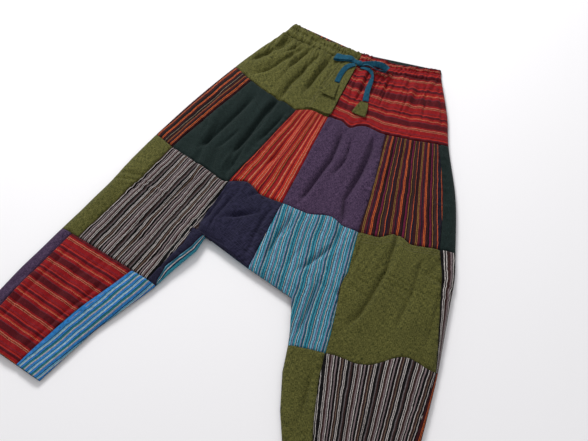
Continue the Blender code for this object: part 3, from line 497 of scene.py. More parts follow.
def under_flap(x, y):
    """1 where the fly flap covers the yoke, fading to 0 around it."""
    left = np.interp(y, (FLY_BOTTOM, FLY_TOP), FLY_LEFT[::-1])
    return (smooth_step(x, left - 0.5, left + 0.3) * (1.0 - smooth_step(x, 0.2, 0.8))
            * smooth_step(y, FLY_BOTTOM - 0.6, FLY_BOTTOM) * (1.0 - smooth_step(y, FLY_TOP, 40.2)))


def gather_height(across, along):
    """Gathers that hang from the waistband and fade out down the yoke."""
    drift = 0.5 * value_noise(across / 3.0, along / 5.0, 41)
    fine = np.abs(value_noise((across + drift) / GATHER_ACROSS, along / 9.0, 43))
    wide = np.abs(value_noise((across + drift) / 1.5, along / 14.0, 47))
    below = np.clip(along - 3.7, 0.0, 99.0)
    fade = np.clip(1.0 - below / GATHER_FADE, 0.0, 1.0)
    return GATHER * (0.6 * fine * fade ** 1.5 + 0.8 * wide * fade) * (along > 3.6)


def band_height(across, along):
    """Two puffed elastic channels, crossed by fine gathers."""
    t = np.clip(along / 3.7, 0.0, 1.0)
    puff = np.abs(np.sin(2.0 * np.pi * t)) ** 0.6
    fine = np.abs(value_noise(across / 0.46, along / 1.6, 53))
    wide = value_noise(across / 1.1, along / 3.0, 59)
    return BAND_PUFF * (puff - 0.6) + BAND_GATHER * (1.1 * fine + 0.5 * wide - 0.4)


def seam_relief(distance, run, seed):
    """A seam's groove and the puckers beside it, at a distance from it."""
    groove = -SEAM_DEPTH * np.exp(-(distance / SEAM_REACH) ** 2)
    ripple = value_noise(run / PUCKER_LENGTH, distance / 2.0, seed)
    return groove + PUCKER * ripple * np.exp(-distance / PUCKER_REACH) * (distance > 0.04)


def front_surface(x, y, relief=0.0):
    """Outer points of the front, with a relief added, and the direction of the wall."""
    distance, out_x, out_y = edge_distance(x, y)
    edge, _ = edge_height(x, y)
    height = read_table(HEIGHTS, "y", y, "height")
    rim = read_table(HEIGHTS, "y", y, "rim")
    cosine = np.clip(1.0 - distance / rim, 0.0, 1.0)
    sine = np.sqrt(1.0 - cosine * cosine)
    swell = (SWELL * np.sin(2.0 * np.pi * (x / SWELL_ACROSS + y / 61.0))
             * np.sin(2.0 * np.pi * (y / SWELL_ALONG - x / 47.0)))
    depth = (0.7 * fold_depth(x, y, FOLDS, bell)
             + CREASE_DEPTH * fold_depth(x, y, CREASES, crease_shape))
    depth = np.minimum(depth, height - 0.55)
    z = edge + (height - edge + swell - depth + relief) * sine
    return np.stack((x, y, z), -1), np.stack((cosine * out_x, cosine * out_y, sine), -1)


def back_surface(x, y):
    distance, out_x, out_y = edge_distance(x, y)
    edge, roll = edge_height(x, y)
    cosine = np.clip(1.0 - distance / roll, 0.0, 1.0)
    cosine = np.where(cosine < 0.15, 0.0, cosine)
    sine = np.sqrt(1.0 - cosine * cosine)
    z = edge * (1.0 - sine)
    return np.stack((x, y, z), -1), np.stack((cosine * out_x, cosine * out_y, -sine), -1)


def drawn_in(line, inside, by):
    """A line of plan points moved square to itself, towards the side where inside lies."""
    before = np.vstack((line[:1], line[:-1]))
    after = np.vstack((line[1:], line[-1:]))
    inward = inside - line
    normal = np.stack((before[:, 1] - after[:, 1], after[:, 0] - before[:, 0]), 1)
    turned = ((line - before) * (after - line)).sum(1) < 0.0
    normal[turned] = inward[turned]
    facing = np.where((normal * inward).sum(1) < 0.0, -1.0, 1.0)
    return line + normal / np.linalg.norm(normal, axis=1, keepdims=True) * (facing * by)[:, None]


def open_seams(plan, left, right, top, bottom):
    """Draw a panel's sewn edges in by half of the gap."""
    half_gap = GAP / CM / 2.0
    if top:
        plan[0] = drawn_in(plan[0], plan[1], half_gap)
    if bottom:
        plan[-1] = drawn_in(plan[-1], plan[-2], half_gap)
    if left:
        plan[:, 0] = drawn_in(plan[:, 0], plan[:, 1], half_gap)
    if right:
        plan[:, -1] = drawn_in(plan[:, -1], plan[:, -2], half_gap)
    return plan


def link(name, mesh):
    obj = bpy.data.objects.new(name, mesh)
    bpy.context.collection.objects.link(obj)
    return obj


def make_wall(name, outer, inner, uv, material):
    """A closed wall between two grids of points in metres, each point with its place on the
    flat cloth."""
    rows, columns = outer.shape[:2]
    count = rows * columns
    points = np.concatenate((outer.reshape(-1, 3), inner.reshape(-1, 3)))
    a = (np.arange(rows - 1)[:, None] * columns + np.arange(columns - 1)).ravel()
    top = np.stack((a, a + 1, a + 1 + columns, a + columns), 1)
    rim = list(range(columns))
    rim += [i * columns + columns - 1 for i in range(1, rows)]
    rim += [(rows - 1) * columns + j for j in range(columns - 2, -1, -1)]
    rim += [i * columns for i in range(rows - 2, 0, -1)]
    rim = np.array(rim)
    following = np.roll(rim, -1)
    sides = np.stack((following, rim, rim + count, following + count), 1)
    faces = np.concatenate((top, top[:, ::-1] + count, sides))
    middle = rows // 2 * columns + columns // 2
    across, down = points[middle + 1] - points[middle], points[middle + columns] - points[middle]
    if np.dot(np.cross(across, down), points[middle] - points[middle + count]) < 0.0:
        faces = faces[:, ::-1]
    mesh = bpy.data.meshes.new(name)
    mesh.from_pydata((points + (ORIGIN_X, ORIGIN_Y, 0.0)).tolist(), [], faces.tolist())
    layer = mesh.uv_layers.new(name="Cloth")
    spots = np.concatenate((uv.reshape(-1, 2), uv.reshape(-1, 2)))[faces.ravel()]
    layer.data.foreach_set("uv", spots.astype(np.float32).ravel())
    mesh.materials.append(material)
    mesh.shade_smooth()
    return link(name, mesh)


def finish_piece(obj, node):
    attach(obj, BODY)
    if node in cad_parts:
        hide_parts(node)
    return obj


# Cloth panels

Lane = namedtuple("Lane", "front starts ends steps ease")


def lane_plan(half, levels, lane, seam):
    """Plan points and shares of one part of a panel, on the front or behind."""
    t = np.linspace(0.0, 1.0, lane.steps + 1)
    if lane.ease == "edge":
        t = np.sin(t * np.pi / 2.0)
    elif lane.ease == "away":
        t = t ** 2.2
    share = lane.starts[:, None] + (lane.ends - lane.starts)[:, None] * t
    grid = levels[:, None] + 0.0 * share
    if lane.front:
        x, y = plan_point(half, grid, share)
    else:
        start_x, start_y = plan_point(half, levels, lane.starts, False)
        x = start_x[:, None] + (seam[:, 0] - start_x)[:, None] * t
        y = start_y[:, None] + (seam[:, 1] - start_y)[:, None] * t
    return np.stack((x, y), -1), share


def levels_between(first, last, step):
    rows = max(int(round((along_at(last) - along_at(first)) / step)), 2)
    return np.interp(np.linspace(along_at(first), along_at(last), rows + 1),
                     [row[1] for row in ALONG], [row[0] for row in ALONG])


def back_seam(half, row, levels):
    """The seam behind, straight from the top of a row to its foot."""
    ends = levels[[0, -1]]
    x, y = plan_point(half, ends, read_table(SEAMS[half, row], "level", ends, "back"), False)
    t = (levels - levels[0]) / (levels[-1] - levels[0])
    return np.stack((x[0] + (x[1] - x[0]) * t, y[0] + (y[1] - y[0]) * t), 1)


def chord_distance(plan, column):
    """Distance of each point from the straight line between the ends of a column."""
    start, end = plan[0, column], plan[-1, column]
    dx, dy = (end - start) / np.linalg.norm(end - start)
    return np.abs((plan[..., 0] - start[0]) * dy - (plan[..., 1] - start[1]) * dx)


def cloth_across(plan, outer, fronts, lay):
    """Where each point lies across the flat cloth, in metres. A fanned panel's threads spread
    between its two seams; others run parallel to the right one. Folds take up cloth."""
    last = fronts.nonzero()[0][-1] if fronts.any() else 0
    left, right = chord_distance(plan, 0), chord_distance(plan, last)
    width = np.linalg.norm(plan[:, last] - plan[:, 0], axis=1).mean()
    if lay == "fan":
        across = left / np.maximum(left + right, 1e-6) * width
    elif lay == "right":
        across = width - right
    else:
        steps = np.linalg.norm(np.diff(plan, axis=1), axis=2).mean(0)
        across = np.concatenate(([0.0], np.cumsum(steps)))[None, :] + 0.0 * left
    flat = np.linalg.norm(np.diff(outer[..., :2], axis=1), axis=2)
    taken = np.cumsum(np.linalg.norm(np.diff(outer, axis=1), axis=2) - flat, axis=1)
    taken = np.concatenate((np.zeros((len(taken), 1)), taken), 1)
    taken = taken - np.linspace(0.0, 1.0, taken.shape[1]) * taken[:, -1:]
    return across * CM + FOLD_TAKE * taken


def make_panel(name, cloth, half, levels, lanes, sewn, seam=None, waist=None,
               lay="even"):
    """One panel. sewn says which of its left, right, top and bottom edges have a seam; waist is
    band or yoke where it is gathered."""
    plans, shares, fronts = [], [], []
    for i, lane in enumerate(lanes):
        plan, share = lane_plan(half, levels, lane, seam)
        skip = 1 if i else 0
        plans.append(plan[:, skip:])
        shares.append(share[:, skip:])
        fronts += [lane.front] * (share.shape[1] - skip)
    plan, share = np.concatenate(plans, 1), np.concatenate(shares, 1)
    fronts = np.array(fronts)
    left, right, top, bottom = sewn
    plan = open_seams(plan, left, right, top, bottom)
    x, y = plan[..., 0], plan[..., 1]
    width = width_at(half, levels)[:, None]
    side = -1.0 if half == "left" else 1.0
    across = side * share * width
    along = along_at(levels)[:, None] + 0.0 * share

    relief = crinkle_height(across, along) * (1.0 - 0.6 * under_flap(x, y))
    if waist == "band":
        relief = 0.3 * relief + band_height(across, along)
    else:
        relief += gather_height(across, along) * (1.0 - 0.8 * under_flap(x, y))
    front_x, front_share = fronts.nonzero()[0], share[:, fronts]
    if left:
        relief[:, front_x] += seam_relief(
            np.abs(front_share - front_share[:, :1]) * width, along[:, front_x], 61)
    if right and fronts[-1]:
        relief += seam_relief(np.abs(share - share[:, -1:]) * width, along, 61)
    if top:
        relief += seam_relief(along - along[:1], across, 67)
    if bottom:
        relief += seam_relief(along[-1:] - along, across, 67)

    front_points, front_out = front_surface(x, y, relief)
    back_points, back_out = back_surface(x, y)
    mask = fronts[None, :, None]
    outer = np.where(mask, front_points, back_points) * CM
    out = np.where(mask, front_out, back_out)
    lift = GAP if waist or name.endswith("front_inner") else 0.0
    outer[..., 2] += np.where(fronts, lift, 0.0)
    inner = outer - out * CLOTH

    v = np.repeat((along_at(levels) - along_at(levels[0]))[:, None] * CM, x.shape[1], 1)
    uv = np.stack((cloth_across(plan, outer, fronts, lay), v), -1)
    obj = make_wall(name + "_cloth", outer, inner, uv, MATERIALS[cloth])
    finish_piece(obj, name)
    return obj


def steps_for(half, levels, starts, ends, step):
    return max(int(round(((ends - starts) * width_at(half, levels)).max() / step)), 2)


def front_lane(half, levels, starts, ends, step, ease="even"):
    starts, ends = starts + 0.0 * levels, ends + 0.0 * levels
    return Lane(True, starts, ends, steps_for(half, levels, starts, ends, step), ease)


def make_band(half):
    levels = levels_between(0.0, 1.0, WAIST_STEP)
    lane = front_lane(half, levels, 0.0, 1.0, WAIST_STEP)
    make_panel(f"band_front_{half}", YOKE_CLOTHS["front", half], half, levels, [lane],
               (True, False, False, True), waist="band")
    make_waist_back("band", half, levels_between(0.0, 1.0, 0.6), False)


def make_yoke(half):
    levels = levels_between(1.0, 2.0, FRONT_STEP)
    lane = front_lane(half, levels, 0.0, 1.0, WAIST_STEP)
    make_panel(f"yoke_front_{half}", YOKE_CLOTHS["front", half], half, levels, [lane],
               (True, False, True, True), waist="yoke")
    make_waist_back("yoke", half, levels_between(1.0, 2.0, BACK_STEP), True)


def make_waist_back(kind, half, levels, sewn_above):
    """Behind, from the outer edge to the centre seam."""
    seam = np.stack(plan_point(half, levels, 0.0 * levels, False), 1)
    lane = Lane(False, 1.0 + 0.0 * levels, 0.0 * levels, 26, "away")
    make_panel(f"{kind}_back_{half}", YOKE_CLOTHS["back", half], half, levels, [lane],
               (False, True, sewn_above, True), seam=seam)


def turned_share(half, row, levels):
    """How far the panel behind comes round onto the front of the inside of the leg."""
    if (half, row) != ("left", 2):
        return 0.0 * levels
    return np.interp(levels, TURN_LEVELS, TURN_WIDTHS) / width_at(half, levels)


def make_row(half, row):
    """The four panels of one row on one half."""
    levels = levels_between(row + 1.0, row + 2.0, FRONT_STEP)
    first = read_table(SEAMS[half, row], "level", levels, "first")
    second = read_table(SEAMS[half, row], "level", levels, "second")
    seam = back_seam(half, row, levels)
    turned = turned_share(half, row, levels)
    cloths = PANEL_CLOTHS[half, row]
    top, bottom, inside = True, row < 3, row < 3

    def panel(part, cloth, lanes, left, right, lay="even"):
        make_panel(f"row{row}_{half}_{part}", cloth, half, levels, lanes,
                   (left, right, top, bottom), seam=seam, lay=lay)

    panel("front_inner", cloths[0], [front_lane(half, levels, turned, first, FRONT_STEP)],
          inside, True, "right" if (half, row) in PARALLEL_PANELS else "fan")
    panel("front_outer", cloths[1], [front_lane(half, levels, first, second, FRONT_STEP)],
          True, True, "fan")
    behind = Lane(False, 1.0 + 0.0 * levels, 0.5 + 0.0 * levels, 18, "away")
    panel("side", cloths[2], [front_lane(half, levels, second, 1.0, FRONT_STEP, "edge"), behind],
          True, True)
    inner = Lane(False, 0.0 * levels, 0.5 + 0.0 * levels, 18, "away")
    panel("back_inner", cloths[3], [inner], inside, True)
    if turned.any():
        make_turn(half, row, cloths[3])


def make_turn(half, row, cloth):
    """The part of the panel behind that shows in front along the inside of the leg."""
    levels = levels_between(TURN_LEVELS[0] + 0.01, TURN_LEVELS[-1] - 0.01, FRONT_STEP)
    lane = front_lane(half, levels, 0.0, turned_share(half, row, levels), FRONT_STEP)
    make_panel(f"row{row}_{half}_turn", cloth, half, levels, [lane._replace(steps=6)],
               (False, True, False, False))


def make_fly():
    """The flap over the yoke: stitched down on its left, free on its right."""
    levels = levels_between(*FLY_LEVELS, WAIST_STEP)
    t = np.linspace(0.0, 1.0, FLY_COLUMNS + 1)[None, :]
    starts = np.interp(levels, FLY_LEVELS, FLY_LEFT)[:, None]
    across = starts + (FLY_RIGHT - starts) * t
    outer_x = read_smooth(SECTIONS["left"], levels, "outer_x")[:, None]
    grid = levels[:, None] + 0.0 * across
    x, y = plan_point("left", grid, across / outer_x)
    along = along_at(grid)
    relief = (FLY_CRINKLE * crinkle_height(across, along)
              + FLY_GATHER * gather_height(across, along)
              + FLY_LIFT[0] + (FLY_LIFT[1] - FLY_LIFT[0]) * t ** 1.5)
    relief -= FLY_GROOVE * np.exp(-((across - starts - 0.55) / 0.16) ** 2)
    outer, out = front_surface(x, y, relief)
    outer = outer * CM + out * CLOTH
    uv = np.stack((across * CM, along * CM), -1)
    obj = make_wall("fly_flap_cloth", outer, outer - out * CLOTH, uv, MATERIALS["olive"])
    finish_piece(obj, "fly_flap")


# Drawstring bow

def smooth_stations(stations, per_step=8):
    """Stations joined by a smooth curve that passes through each."""
    rows = np.array(stations, float)
    rows = np.vstack((2.0 * rows[0] - rows[1], rows, 2.0 * rows[-1] - rows[-2]))
    out = []
    for a, b, c, d in zip(rows, rows[1:], rows[2:], rows[3:]):
        for t in np.arange(per_step) / per_step:
            out.append(0.5 * (2.0 * b + (c - a) * t + (2.0 * a - 5.0 * b + 4.0 * c - d) * t * t
                              + (3.0 * b - a - 3.0 * c + d) * t ** 3))
    out.append(rows[-2])
    return np.array(out)


def cloth_trees(names):
    """The cloth under the bow, made ready to be asked how high it stands."""
    trees = []
    for name in names:
        mesh = bpy.data.objects[name].data
        trees.append(BVHTree.FromPolygons([v.co for v in mesh.vertices],
                                          [p.vertices for p in mesh.polygons]))
    return trees


def top_of(trees, x, y, reach=0.0):
    """Height of the cloth in metres at a place in centimetres, the highest within reach."""
    best = 0.0
    for dx, dy in ((0.0, 0.0), (reach, 0.0), (-reach, 0.0), (0.0, reach), (0.0, -reach)):
        start = Vector(((x + dx) * CM + ORIGIN_X, (y + dy) * CM + ORIGIN_Y, 0.1))
        for tree in trees:
            hit = tree.ray_cast(start, Vector((0.0, 0.0, -1.0)))[0]
            best = max(best, hit.z if hit else 0.0)
    return best


def tape_grid(trees, stations, axis=None, slack=0.0):
    """Outer and inner points of a flat tape that lies on the cloth, and its middle line."""
    rows = smooth_stations(stations)
    tilt = np.radians(rows[:, 4])
    width = rows[:, 3]
    heights = np.array([top_of(trees, x, y, w / 2.0) for x, y, w in rows[:, [0, 1, 3]]])
    padded = np.pad(heights, 3, mode="edge")
    eased = np.mean([padded[i:i + len(rows)] for i in range(7)], 0)
    z = np.maximum(eased, heights - 0.0004) + (rows[:, 2] + np.abs(np.sin(tilt)) * width / 2.0) * CM
    middle = np.stack((rows[:, 0] * CM, rows[:, 1] * CM, z + TAPE / 2.0), 1)
    run = np.gradient(middle, axis=0)
    run /= np.linalg.norm(run, axis=1, keepdims=True)
    if axis is None:
        flat = np.stack((run[:, 1], -run[:, 0], 0.0 * z), 1)
        flat /= np.linalg.norm(flat, axis=1, keepdims=True)
        side = flat * np.cos(tilt)[:, None] + np.outer(np.sin(tilt), (0.0, 0.0, 1.0))
    else:
        side = np.tile(np.array(axis) / np.linalg.norm(axis), (len(rows), 1))
    facing = np.cross(side, run)
    facing /= np.linalg.norm(facing, axis=1, keepdims=True)
    s = np.linspace(-1.0, 1.0, 9)
    length = np.concatenate(([0.0], np.cumsum(np.linalg.norm(np.diff(middle, axis=0), axis=1))))
    ripple = value_noise(length[:, None] / 0.007 + 0.0 * s, s[None, :] * 1.3 + 0.0 * length[:, None],
                         71) * 0.0005
    lift = ripple + slack * (s[None, :] ** 2) * width[:, None] * CM
    spread = middle[:, None] + side[:, None] * (s[None, :, None] * width[:, None, None] * CM / 2.0)
    outer = spread + facing[:, None] * (TAPE / 2.0 + lift)[..., None]
    inner = spread + facing[:, None] * (lift - TAPE / 2.0)[..., None]
    uv = np.stack((s[None, :] * width[:, None] * CM / 2.0, length[:, None] + 0.0 * s), -1)
    return outer, inner, uv, middle


def make_knot(base):
    """A lump of tape drawn tight, with the lines of its wraps."""
    rings, sides = KNOT_RINGS, KNOT_SIDES
    up, around = np.meshgrid(np.linspace(-0.5, 0.5, rings) * math.pi * 0.98,
                             np.linspace(0.0, 2.0 * math.pi, sides, endpoint=False),
                             indexing="ij")
    wraps = 1.0 + WRAP_DEPTH * np.sin(9.0 * np.cos(around) * np.cos(up) + 2.0 * np.sin(up))
    size = np.array(KNOT_SIZE) * CM
    points = np.stack((np.cos(up) * np.cos(around) * size[0], np.cos(up) * np.sin(around) * size[1],
                       np.sin(up) * size[2]), -1) * wraps[..., None]
    points += np.array((KNOT[0] * CM + ORIGIN_X, KNOT[1] * CM + ORIGIN_Y, base + size[2] * 0.9))
    faces = [(i * sides + j, i * sides + (j + 1) % sides, (i + 1) * sides + (j + 1) % sides,
              (i + 1) * sides + j) for i in range(rings - 1) for j in range(sides)]
    faces += [tuple(range(sides))[::-1], tuple((rings - 1) * sides + j for j in range(sides))]
    mesh = bpy.data.meshes.new("drawstring_knot_tape")
    mesh.from_pydata(points.reshape(-1, 3).tolist(), [], faces)
    layer = mesh.uv_layers.new(name="Cloth")
    for loop in mesh.loops:
        i, j = divmod(loop.vertex_index, sides)
        layer.data[loop.index].uv = (i * 0.001, j * 0.0015)
    mesh.materials.append(MATERIALS["teal_tape"])
    mesh.shade_smooth()
    finish_piece(link("drawstring_knot_tape", mesh), "drawstring_knot")


def make_bow():
    """The knot, its two loops, and the two free ends with a cloth tab on each."""
    trees = cloth_trees([f"{part}_front_{half}_cloth" for part in ("band", "yoke")
                         for half in SECTIONS] + ["fly_flap_cloth"])

    def tape(name, node, cloth, stations, **values):
        outer, inner, uv, middle = tape_grid(trees, stations, **values)
        obj = make_wall(name, outer, inner, uv, MATERIALS[cloth])
        return finish_piece(obj, node), middle

    tape("drawstring_loop_left_tape", "drawstring_loop_left", "teal_tape", LOOP_LEFT,
         axis=(0.06, 1.0, 0.0))
    tape("drawstring_loop_right_tape", "drawstring_loop_right", "teal_tape", LOOP_RIGHT)
    make_knot(top_of(trees, *KNOT, 0.4))
    for half in TAILS:
        tip, _ = tape(f"drawstring_tip_{half}_cloth", f"drawstring_tip_{half}", "olive",
                      TIPS[half], slack=0.05)
        tail, middle = tape(f"drawstring_tail_{half}_tape", f"drawstring_tail_{half}",
                            "teal_tape", TAILS[half])
        middle = middle + (ORIGIN_X, ORIGIN_Y, 0.0)


# Stitches

def build_stitch_tree():
    """Short stitches laid along the edges of a mesh, each turned along its line."""
    tree = bpy.data.node_groups.new("Stitch Line", "GeometryNodeTree")
    face = tree.interface
    face.new_socket(name="Line", in_out="INPUT", socket_type="NodeSocketGeometry")
    for label in ("Pitch", "Length", "Thickness"):
        face.new_socket(name=label, in_out="INPUT", socket_type="NodeSocketFloat")
    face.new_socket(name="Thread", in_out="INPUT", socket_type="NodeSocketMaterial")
    face.new_socket(name="Stitches", in_out="OUTPUT", socket_type="NodeSocketGeometry")
    new, join = tree.nodes.new, tree.links.new
    given, result = new("NodeGroupInput"), new("NodeGroupOutput")
    curve, sampled = new("GeometryNodeMeshToCurve"), new("GeometryNodeResampleCurve")
    sampled.mode = "LENGTH"
    join(given.outputs["Line"], curve.inputs["Mesh"])
    join(curve.outputs["Curve"], sampled.inputs["Curve"])
    join(given.outputs["Pitch"], sampled.inputs["Length"])
    shape = new("GeometryNodeMeshCylinder")
    shape.inputs["Vertices"].default_value = 6
    join(given.outputs["Length"], shape.inputs["Depth"])
    join(given.outputs["Thickness"], shape.inputs["Radius"])
    tangent, turn = new("GeometryNodeInputTangent"), new("FunctionNodeAlignRotationToVector")
    turn.axis = "Z"
    join(tangent.outputs[0], turn.inputs["Vector"])
    placed = new("GeometryNodeInstanceOnPoints")
    join(sampled.outputs["Curve"], placed.inputs["Points"])
    join(shape.outputs["Mesh"], placed.inputs["Instance"])
    join(turn.outputs["Rotation"], placed.inputs["Rotation"])
    real, painted = new("GeometryNodeRealizeInstances"), new("GeometryNodeSetMaterial")
    join(placed.outputs["Instances"], real.inputs["Geometry"])
    join(real.outputs["Geometry"], painted.inputs["Geometry"])
    join(given.outputs["Thread"], painted.inputs["Material"])
    join(painted.outputs["Geometry"], result.inputs["Stitches"])
    return tree


def sew(name, lines, thread, tree):
    """Stitches along lines of points in metres, as one plain mesh."""
    points, edges = [], []
    for line in lines:
        first = len(points)
        points += [tuple(point) for point in line]
        edges += [(i, i + 1) for i in range(first, len(points) - 1)]
    mesh = bpy.data.meshes.new(name + "_line")
    mesh.from_pydata(points, edges, [])
    guide = link(name + "_line", mesh)
    modifier = guide.modifiers.new("stitches", "NODES")
    modifier.node_group = tree
    values = {"Pitch": STITCH_PITCH, "Length": STITCH_LENGTH, "Thickness": STITCH_THICK / 2.0,
              "Thread": thread}
    for item in tree.interface.items_tree:
        if item.in_out == "INPUT" and item.name in values:
            modifier[item.identifier] = values[item.name]
    graph = bpy.context.evaluated_depsgraph_get()
    sewn = bpy.data.meshes.new_from_object(guide.evaluated_get(graph))
    bpy.data.objects.remove(guide)
    sewn.name = name
    obj = link(name, sewn)
    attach(obj, BODY)


def line_on(cloth, places):
    """Points just above a piece's cloth, over places in centimetres."""
    tree = cloth_trees([cloth])
    return [(x * CM + ORIGIN_X, y * CM + ORIGIN_Y, top_of(tree, x, y) + STITCH_THICK * 0.1)
            for x, y in places]


def row_line(half, level, starts, ends, count=150):
    """Places along a level of one half, between two shares of its width."""
    share = np.linspace(starts, ends, count)
    return list(zip(*plan_point(half, level + 0.0 * share, share)))


def make_stitches():
    """The fly's double line and the olive panel's double line."""
    tree = build_stitch_tree()
    thread = MATERIALS["thread"]
    fly = []
    for inset in FLY_STITCHES:
        levels = np.linspace(FLY_LEVELS[0] + 0.01, FLY_LEVELS[1] - 0.01, 90)
        across = np.interp(levels, FLY_LEVELS, FLY_LEFT) + inset
        outer_x = read_smooth(SECTIONS["left"], levels, "outer_x")
        fly.append(line_on("fly_flap_cloth", zip(*plan_point("left", levels, across / outer_x))))
    sew("fly_topstitch", fly, thread, tree)
    olive = [line_on("row2_right_front_outer_cloth", row_line("right", level, *OLIVE_STITCH_ENDS))
             for level in OLIVE_STITCHES]
    sew("olive_panel_topstitch", olive, thread, tree)


# Materials

YOKE_CLOTHS = {("front", "left"): "olive", ("front", "right"): "crimson",
               ("back", "left"): "maroon_stripe", ("back", "right"): "bottle_green"}
PANEL_CLOTHS = {
    ("left", 1): ("red_stripe", "bottle_green", "maroon_stripe", "purple"),
    ("left", 2): ("navy", "mono_stripe", "olive", "turquoise_stripe"),
    ("left", 3): ("bright_blue", "crimson", "purple", "bottle_green"),
    ("right", 1): ("purple", "burgundy_stripe", "bottle_green", "red_stripe"),
    ("right", 2): ("turquoise_stripe", "olive", "mono_stripe", "navy"),
    ("right", 3): ("olive", "mono_stripe", "maroon_stripe", "bottle_green"),
}

# Front inner panels whose threads run along their right seam; the others' fan out
PARALLEL_PANELS = {("right", 2)}

# Plain cloths: the two yarn colours, how much the yarn varies, and roughness
Plain = namedtuple("Plain", "dark light mix roughness")
PLAINS = {
    "olive": Plain((0.021, 0.0252, 0.0042), (0.147, 0.139, 0.0357), 0.60, 0.9),
    "bottle_green": Plain((0.00315, 0.0084, 0.00735), (0.0126, 0.0252, 0.0231), 0.50, 0.9),
    "purple": Plain((0.0168, 0.0084, 0.0273), (0.0945, 0.0546, 0.109), 0.60, 0.9),
    "navy": Plain((0.0042, 0.0042, 0.0147), (0.0252, 0.0231, 0.0546), 0.50, 0.9),
    "thread": Plain((0.10, 0.095, 0.045), (0.22, 0.20, 0.10), 0.50, 0.8),
    "teal_tape": Plain((0.0021, 0.0294, 0.063), (0.0105, 0.105, 0.168), 0.50, 0.85),
}

# Striped cloths: the width of each stripe in millimetres and its colour, over one repeat
YARNS = {
    "black": (0.0024, 0.002, 0.0024), "char": (0.008, 0.006, 0.008),
    "brown": (0.032, 0.014, 0.012), "tan": (0.18, 0.12, 0.08), "white": (0.46, 0.42, 0.4),
    "grey": (0.12, 0.1, 0.104), "pink_grey": (0.19, 0.144, 0.15),
    "red": (0.25, 0.006, 0.008), "scarlet": (0.38, 0.016, 0.01),
    "dark_red": (0.08, 0.003, 0.006), "cream": (0.52, 0.3, 0.17),
    "orange": (0.56, 0.11, 0.024), "gold": (0.26, 0.124, 0.028), "mauve": (0.1, 0.016, 0.028),
    "maroon": (0.03, 0.004, 0.0056), "burgundy": (0.068, 0.006, 0.014),
    "magenta": (0.11, 0.006, 0.03), "ink": (0.006, 0.006, 0.016),
    "turquoise": (0.028, 0.21, 0.28), "teal": (0.01, 0.09, 0.136), "sky": (0.13, 0.34, 0.46),
    "lilac": (0.2, 0.22, 0.32), "deep_blue": (0.006, 0.026, 0.068),
    "bright": (0.024, 0.17, 0.44), "sea": (0.02, 0.16, 0.17), "beige": (0.24, 0.18, 0.12),
}
STRIPES = {
    "red_stripe": ((5, "red"), (0.8, "cream"), (1.6, "scarlet"), (0.8, "orange"), (1.6, "red"),
                   (0.8, "cream"), (4, "scarlet"), (1.5, "dark_red"), (3, "red"),
                   (0.8, "orange"), (1.2, "scarlet"), (0.8, "cream"), (6, "red"),
                   (2, "dark_red"), (0.8, "gold"), (3, "scarlet"), (0.8, "cream"), (1.4, "red"),
                   (0.8, "orange"), (4, "red"), (2.5, "dark_red"), (0.8, "orange")),
    "maroon_stripe": ((5, "maroon"), (1, "orange"), (1.3, "maroon"), (1, "orange"),
                      (4, "char"), (3, "dark_red"), (1, "gold"), (4, "maroon"), (2, "black"),
                      (1, "beige"), (3, "char"), (4, "maroon"), (1, "orange"), (1.2, "dark_red"),
                      (1, "orange"), (5, "black")),
    "burgundy_stripe": ((5, "maroon"), (1.0, "gold"), (1.2, "black"), (1.0, "gold"),
                        (4, "burgundy"), (2, "ink"), (3, "burgundy"), (1, "orange"),
                        (1.2, "maroon"), (1, "orange"), (4, "maroon"), (2.5, "black"),
                        (3, "magenta"), (2, "maroon"), (1.0, "gold"), (1.5, "black"),
                        (4, "brown"), (2, "burgundy"), (0.8, "orange"), (3, "ink")),
    "mono_stripe": ((3, "black"), (1.1, "white"), (1.4, "black"), (1.1, "white"), (3.5, "brown"),
                    (2.2, "pink_grey"), (0.9, "black"), (1.4, "white"), (2.6, "black"),
                    (2.2, "pink_grey"), (4, "black"), (1.1, "white"), (3.4, "brown"),
                    (0.9, "tan"), (3, "char"), (1.1, "white"), (1.2, "black"), (1.1, "white"),
                    (4, "black"), (2, "grey"), (2.6, "brown")),
    "turquoise_stripe": ((3.2, "turquoise"), (1.2, "deep_blue"), (1.0, "white"), (2, "teal"),
                         (3, "sky"), (1.0, "deep_blue"), (1.8, "lilac"), (1.2, "teal"),
                         (3.4, "turquoise"), (1, "white"), (1.4, "deep_blue"), (2.4, "sky"),
                         (1.2, "deep_blue"), (2.6, "turquoise"), (2, "lilac"), (1.2, "deep_blue"),
                         (2.4, "teal"), (0.9, "white"), (3, "turquoise"), (1.5, "deep_blue")),
    "bright_blue": ((4, "bright"), (1.2, "white"), (2.6, "sky"), (1.2, "deep_blue"),
                    (4, "bright"), (1.6, "lilac"), (1.2, "white"), (3, "sea"), (1, "deep_blue")),
    "crimson": ((6, "dark_red"), (4, "red"), (0.6, "cream"), (1.2, "red"), (0.6, "orange"),
                (1.2, "dark_red"), (0.6, "cream"), (9, "red"), (1.2, "mauve"), (2.4, "red"),
                (1.2, "dark_red"), (2.5, "scarlet"), (1.2, "mauve"), (4.5, "dark_red"),
                (5, "red"), (0.6, "orange"), (1.1, "red"), (0.6, "cream"), (6, "red"),
                (1.4, "mauve"), (6, "dark_red")),
}
STRIPE_DOWN = {"crimson"}       # stripes that run across the garment


def math_node(tree, operation, first, second=None):
    node = tree.nodes.new("ShaderNodeMath")
    node.operation = operation
    for socket, value in zip(node.inputs, (first, second)):
        if isinstance(value, (int, float)):
            socket.default_value = value
        elif value is not None:
            tree.links.new(value, socket)
    return node.outputs[0]


